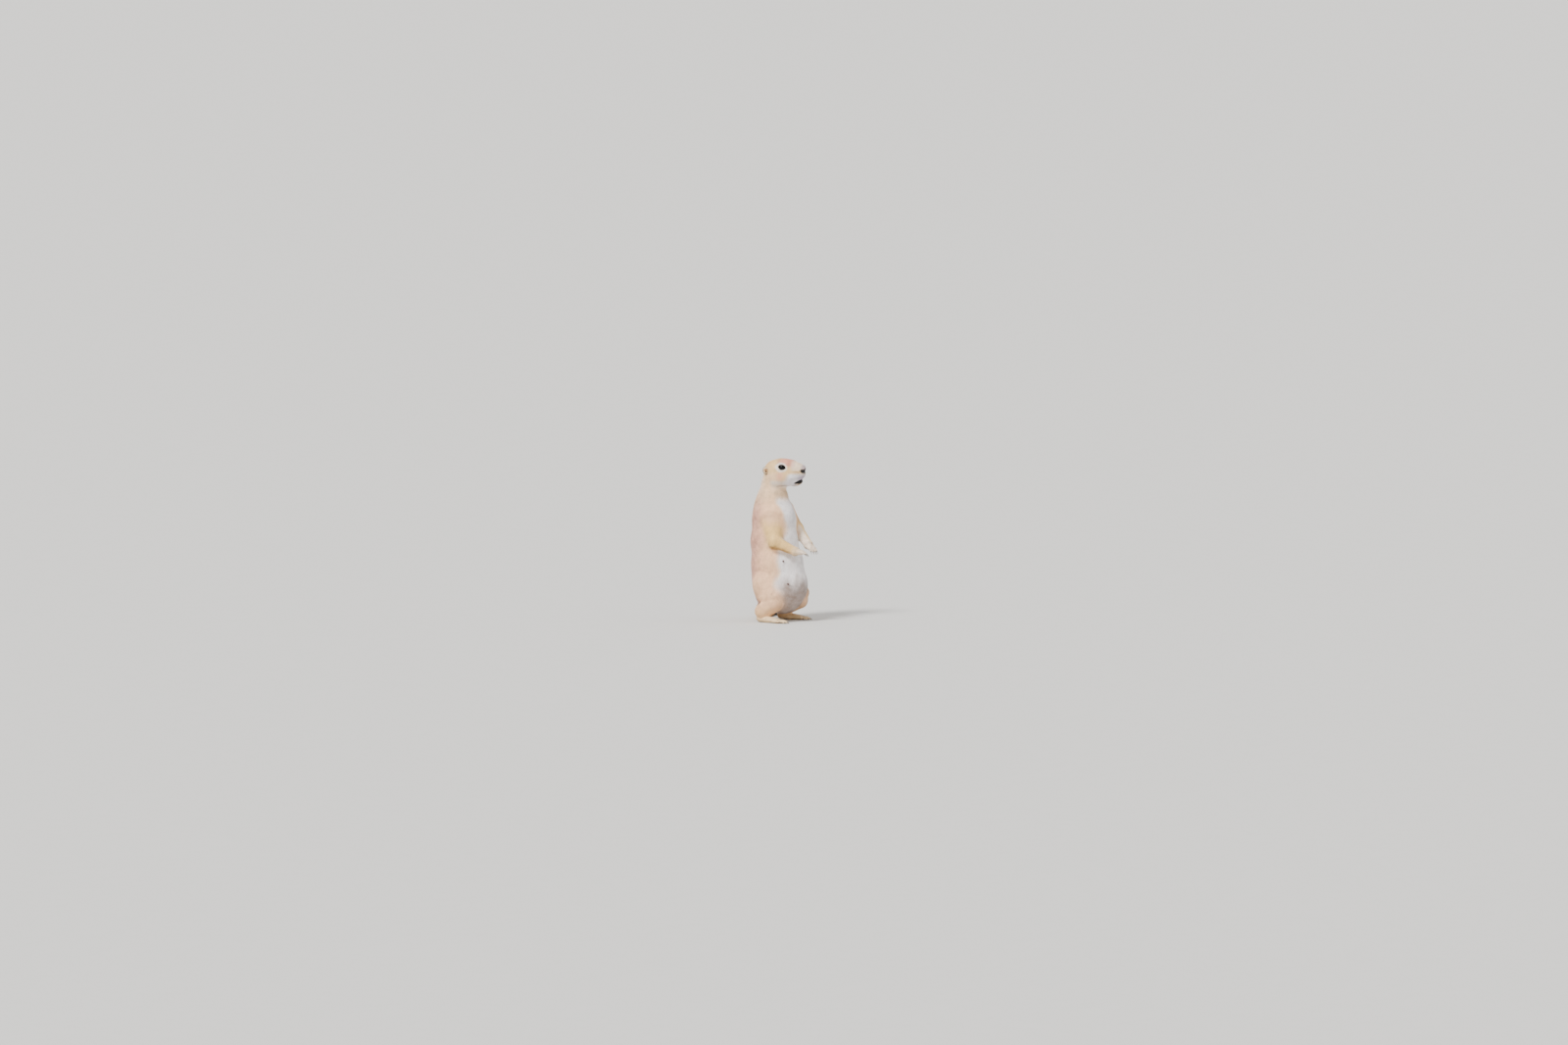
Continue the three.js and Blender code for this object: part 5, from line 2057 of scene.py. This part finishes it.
@dataclass
class Coat:
    """Tufts all over the skin, in pieces that keep each part of the body apart.

    Attributes:
        skin: what they grow on.
        ears: the cups, which have a piece of their own.
        most: the greatest number of tufts in a piece.
        thin: share of the tufts that grow.
        ear_dark: share of darker hairs on the ears.
        lip_gap: bare height on each side of the mouth's plane.
        sole: height up to which nothing grows.
        one_pelt: how far each tuft's shading leans to the skin's, from 0 to 1.
        blade: proportions of a tuft.
        seed: of the first piece, and each further piece counts one up.
        ear_seed: of the ears' piece.
    """

    skin: Skin
    ears: Ears
    most: int = 19_500
    thin: float = 1.0
    ear_dark: float = 0.02
    lip_gap: float = 1.2
    sole: float = 1.6
    one_pelt: float = 0.75
    blade: Blade = Blade()
    seed: int = 100
    ear_seed: int = 99

    def over_eye(self, p: np.ndarray) -> np.ndarray:
        """Whether a point lies on the lids' dark edge or inside their opening.

        Args:
            p: points of the animal's frame.

        Returns:
            True for each such point.
        """
        face = self.skin.flesh.face
        h = animal_to_head(p)
        hit = np.zeros(len(p), bool)
        for side in (1, -1):
            q, opening = face.at_eye(h, side)
            far = np.linalg.norm(q, axis=-1)
            hit |= (far < EYE_RADIUS + 4.5) & (q[:, 2] > 0) & (opening < 1.0)
            hit |= far < EYE_RADIUS + 0.5
        return hit

    def bare(self, p: np.ndarray) -> np.ndarray:
        """Where no tuft grows: in the eyes' openings, on nose and lips, under the soles.

        Args:
            p: points of the animal's frame.

        Returns:
            True for each bare point.
        """
        h = animal_to_head(p)
        above, along = self.skin.flesh.face.mouth_line(h)
        none = (np.abs(above) < self.lip_gap) & (along > -1) & (p[:, 2] > THROAT)
        none |= oval(h, (0, -57, 4.4), (5.6, 7, 4.6)) < 1
        none |= oval(h, (6, -52.4, 4.4), (3.9, 4, 3.3)) < 1
        return none | self.over_eye(p) | (p[:, 2] < self.sole)

    def roots(self, patch: Patch, rng: np.random.Generator) -> dict[str, np.ndarray]:
        """Draws the places of a piece's tufts on the skin's faces, by area and density.

        Args:
            patch: the piece.
            rng: the seeded source of chance.

        Returns:
            Place, outward direction, lie, colour, share of darker hairs and owner of each tuft.
        """
        skin = self.skin
        tri = np.concatenate([skin.quads[:, [0, 1, 2]], skin.quads[:, [0, 2, 3]]])
        corners = skin.points[tri]
        middle = corners.mean(axis=1)
        owner = np.argmax(np.stack([skin.shares[r] for r in Region]), axis=0)[tri[:, 0]]
        reach = np.array([HAIR[r].length for r in Region])[owner][:, None]
        keep = patch.covers(middle, owner) & ~self.bare(middle)
        keep &= ~self.over_eye(middle + skin.lies[tri[:, 0]] * reach * 0.85)
        tri, corners, owner = tri[keep], corners[keep], owner[keep]
        edges = corners[:, 1:] - corners[:, :1]
        area = np.linalg.norm(np.cross(edges[:, 0], edges[:, 1]), axis=1) / 2
        dense = np.array([HAIR[r].dense for r in Region])[owner]
        share = area * dense
        count = int(min(share.sum() * self.thin, self.most))
        pick = np.searchsorted(np.cumsum(share) / share.sum(), rng.random(count))
        pick = np.minimum(pick, len(tri) - 1)
        u, v = rng.random((2, count))
        over = u + v > 1
        u, v = np.where(over, 1 - u, u), np.where(over, 1 - v, v)
        w = np.stack([1 - u - v, u, v], axis=-1)[:, :, None]
        chosen = tri[pick]
        return {
            "at": (skin.points[chosen] * w).sum(axis=1),
            "out": unit((skin.normals[chosen] * w).sum(axis=1)),
            "lie": (skin.lies[chosen] * w).sum(axis=1),
            "colour": (skin.colours[chosen] * w).sum(axis=1),
            "dark": (skin.dark_hairs[chosen] * w[:, :, 0]).sum(axis=1),
            "owner": owner[pick],
        }

    def habits(self, owner: np.ndarray) -> np.ndarray:
        """Rows of length, width, lift, clump and stray of each tuft, by its owner."""
        hairs = [HAIR[r] for r in Region]
        return np.array([(h.length, h.width, h.lift, h.clump, h.stray) for h in hairs])[owner].T

    def tufts(self, root: dict[str, np.ndarray], rng: np.random.Generator) -> np.ndarray:
        """Shapes the tufts: three-sided blades that leave the skin, bend and lie down.

        With the rise r = L tan(lift) / 2, the tip stands at root + lie L + tip_up r out and leans
        towards the mean tip of its clump. The middle stands half way to it, middle_up r higher.

        Args:
            root: what roots() gave.
            rng: the seeded source of chance.

        Returns:
            (n, 7, 3) points.
        """
        n, blade = len(root["at"]), self.blade
        long, broad, lift, clump, stray = self.habits(root["owner"])
        at, out = root["at"], root["out"]
        lie = unit(root["lie"] - (root["lie"] * out).sum(-1, keepdims=True) * out)
        across = np.cross(out, lie)
        swirl = np.radians(stray) * (rng.normal(size=n) + 0.9 * mottle(at, 14, 21))
        lie = lie * np.cos(swirl)[:, None] + across * np.sin(swirl)[:, None]
        across = np.cross(out, lie)
        length = long * rng.uniform(*blade.lengths, n)
        width = broad * rng.uniform(*blade.widths, n)
        rise = length * np.tan(np.radians(lift)) * rng.uniform(*blade.rises, n) * 0.5
        tip = at + lie * length[:, None] + out * (rise * blade.tip_up)[:, None]
        side = np.maximum(long * blade.cell, blade.least_cell)[:, None]
        cell = np.floor(at / side).astype(np.int64)
        _, group = np.unique(cell @ np.array([1, 4099, 16785407]), return_inverse=True)
        group = group.reshape(-1)
        size = np.bincount(group)
        lean = np.stack([np.bincount(group, tip[:, i]) / size for i in range(3)], axis=-1)[group]
        tip = tip + (lean - tip) * (clump * rng.uniform(0.5, 1.2, n))[:, None]
        mid = at + (tip - at) * 0.5 + out * (rise * blade.middle_up)[:, None]
        flat = out * (width * blade.flat)[:, None]
        half = across * (width * 0.5)[:, None]
        base = at - out * blade.sunk
        foot = [base - half * blade.foot, base + half * blade.foot, base + flat]
        points = np.stack([*foot, mid - half, mid + half, mid + flat, tip], axis=1)
        points[:, :, 2] = np.maximum(points[:, :, 2], blade.low)
        return points

    def build_patch(self, patch: Patch, root: dict[str, np.ndarray], shift: np.ndarray,
                    finish: bpy.types.Material, rng: np.random.Generator) -> None:
        """Makes one piece of the coat with its colours and its OFBake map.

        Args:
            patch: the piece.
            root: where its tufts stand, as roots() gives it.
            shift: millimetres from the animal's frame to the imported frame.
            finish: the hair's material.
            rng: the piece's own seeded source of chance.
        """
        points = self.tufts(root, rng)
        n, corners = points.shape[:2]
        number = np.arange(n)[:, None, None] * corners
        faces = [(TUFT_QUADS + number).reshape(-1, 4), (TUFT_ENDS + number).reshape(-1, 3)]
        piece = make_mesh(patch.name, points.reshape(-1, 3), faces, shift, finish, patch.slot)
        blade = self.blade
        tone = rng.normal(1, blade.tones, n) * (1 + 0.05 * mottle(root["at"], 8, 31))
        grizzle = linear(self.skin.markings.grizzle)
        mix = np.where(rng.random(n) < root["dark"], rng.uniform(*blade.greys, n), 0.0)
        base = root["colour"] + (grizzle - root["colour"]) * mix[:, None]
        # painted shade: each tuft darker at its foot, where the tufts shade one another
        shade = blade.root_painted_shade + blade.tip_gain * TUFT_ALONG
        colours = base[:, None] * (tone[:, None] * shade)[..., None]
        paint(piece, np.clip(colours, 0, 1).reshape(-1, 3))
        self.map(piece, patch.chart(root["at"]))
        soften(piece, np.repeat(root["out"], corners, axis=0), self.one_pelt)

    def map(self, piece: bpy.types.Object, place: np.ndarray) -> None:
        """Writes the OFBake map: each tuft is a patch 0.003 across at its root's place.

        Args:
            piece: the object.
            place: (n, 2) place of each tuft on the map.
        """
        uv = place[:, None] + TUFT_MAP
        loops = [uv[:, faces.reshape(-1)].reshape(-1, 2) for faces in (TUFT_QUADS, TUFT_ENDS)]
        layer = piece.data.uv_layers.new(name="OFBake")
        layer.data.foreach_set("uv", np.concatenate(loops).astype(np.float32).reshape(-1))

    def build(self, shift: np.ndarray) -> None:
        """Makes every piece of the coat.

        Args:
            shift: millimetres from the animal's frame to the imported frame.
        """
        finish = GUARD_HAIR.painted()
        for number, patch in enumerate(PATCHES):
            rng = np.random.default_rng(self.seed + number)
            self.build_patch(patch, self.roots(patch, rng), shift, finish, rng)
        rng = np.random.default_rng(self.ear_seed)
        root = self.ears.roots(rng, EAR_TUFTS)
        root["dark"] = np.full(len(root["at"]), self.ear_dark)
        self.build_patch(EAR_PATCH, root, shift, finish, rng)


# The studio


@dataclass
class Studio:
    """Plain pale floor, soft lamps and the camera at the photograph's angle.

    Attributes:
        shift: millimetres from the animal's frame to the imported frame.
        azimuth: of the camera, 0 in front of the animal, in degrees.
        elevation: of the camera above the floor, in degrees.
        frame_width: of the picture at the animal, in metres.
        distance: from the camera to the animal, in metres.
        aim_right: from the animal's own middle to the picture's, in metres.
        aim_up: height of the picture's middle, in metres.
        sensor: width of the camera's sensor, in millimetres.
        sky: strength of the even light from all round.
    """

    shift: np.ndarray
    azimuth: float = -60.0
    elevation: float = 5.0
    frame_width: float = 2.64
    distance: float = 25.0
    aim_right: float = 0.00825
    aim_up: float = 0.1648
    sensor: float = 36.0
    sky: float = 0.9

    def camera(self) -> None:
        """A long lens whose frame is frame_width wide at the animal."""
        data = bpy.data.cameras.new("camera")
        data.sensor_width = self.sensor
        data.lens = self.sensor * self.distance / self.frame_width
        data.clip_start, data.clip_end = 1.0, 400.0
        camera = bpy.data.objects.new("camera", data)
        bpy.context.scene.collection.objects.link(camera)
        a = math.radians(self.azimuth)
        right, out = Vector((math.cos(a), math.sin(a), 0)), toward(self.azimuth, self.elevation)
        across = self.aim_right + right.dot(Vector(self.shift)) * MM
        camera.location = right * across + Vector((0, 0, self.aim_up)) + out * self.distance
        camera.rotation_euler = out.to_track_quat("Z", "Y").to_euler()
        bpy.context.scene.camera = camera

    def lamp(
        self, name: str, azimuth: float, elevation: float, spread: float, power: float
    ) -> None:
        """A far soft lamp that lights floor and animal evenly.

        Args:
            name: its name.
            azimuth: round the animal, 0 in front of it.
            elevation: above the floor.
            spread: how wide the lamp looks from the animal, in degrees.
            power: watts on each square metre that faces it.
        """
        data = bpy.data.lights.new(name, "SUN")
        data.angle, data.energy = math.radians(spread), power
        lamp = bpy.data.objects.new(name, data)
        bpy.context.scene.collection.objects.link(lamp)
        lamp.rotation_euler = toward(azimuth, elevation).to_track_quat("Z", "Y").to_euler()

    def floor(self) -> None:
        """A round floor far wider than the frame, on the animal's own level."""
        sides, radii = 64, (0.01, 1.0, 90.0)
        a = np.linspace(0, 2 * np.pi, sides, endpoint=False)
        rings = np.concatenate([r * np.stack([np.cos(a), np.sin(a), 0 * a], -1) for r in radii])
        faces = grid_faces(len(radii), sides, False, True).tolist() + [list(range(sides))]
        mesh = bpy.data.meshes.new("floor")
        mesh.from_pydata(rings.tolist(), [], faces)
        floor = bpy.data.objects.new("floor", mesh)
        bpy.context.scene.collection.objects.link(floor)
        mesh.materials.append(FLOOR.solid())

    def build(self) -> None:
        """Sets up floor, world, lamps and camera."""
        self.floor()
        world = bpy.data.worlds.new("studio")
        bpy.context.scene.world = world
        world.use_nodes = True
        sky = world.node_tree.nodes["Background"].inputs
        sky["Color"].default_value = (1, 1, 1, 1)
        sky["Strength"].default_value = self.sky
        self.lamp("key", azimuth=-100, elevation=48, spread=14, power=4.6)
        self.lamp("fill", azimuth=30, elevation=35, spread=50, power=0.5)
        self.camera()


def main() -> None:
    """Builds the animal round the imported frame, then the studio."""
    logging.basicConfig(level=logging.INFO, format="%(message)s")
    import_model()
    shift = shift_to_frame()
    flesh = Flesh()
    skin = Skin(flesh, Markings())
    skin.cast()
    skin.build(shift)
    Eyes(flesh.face).build(shift)
    ears = Ears(flesh.face)
    ears.build(shift)
    Claws((foot_paw(1), foot_paw(-1), ARMS[0].paw(), ARMS[1].paw())).build(shift)
    Whiskers(skin).build(shift)
    Teats().build(shift, flesh)
    Coat(skin, ears, thin=1.0).build(shift)
    Studio(shift).build()


if __name__ == "__main__":
    main()
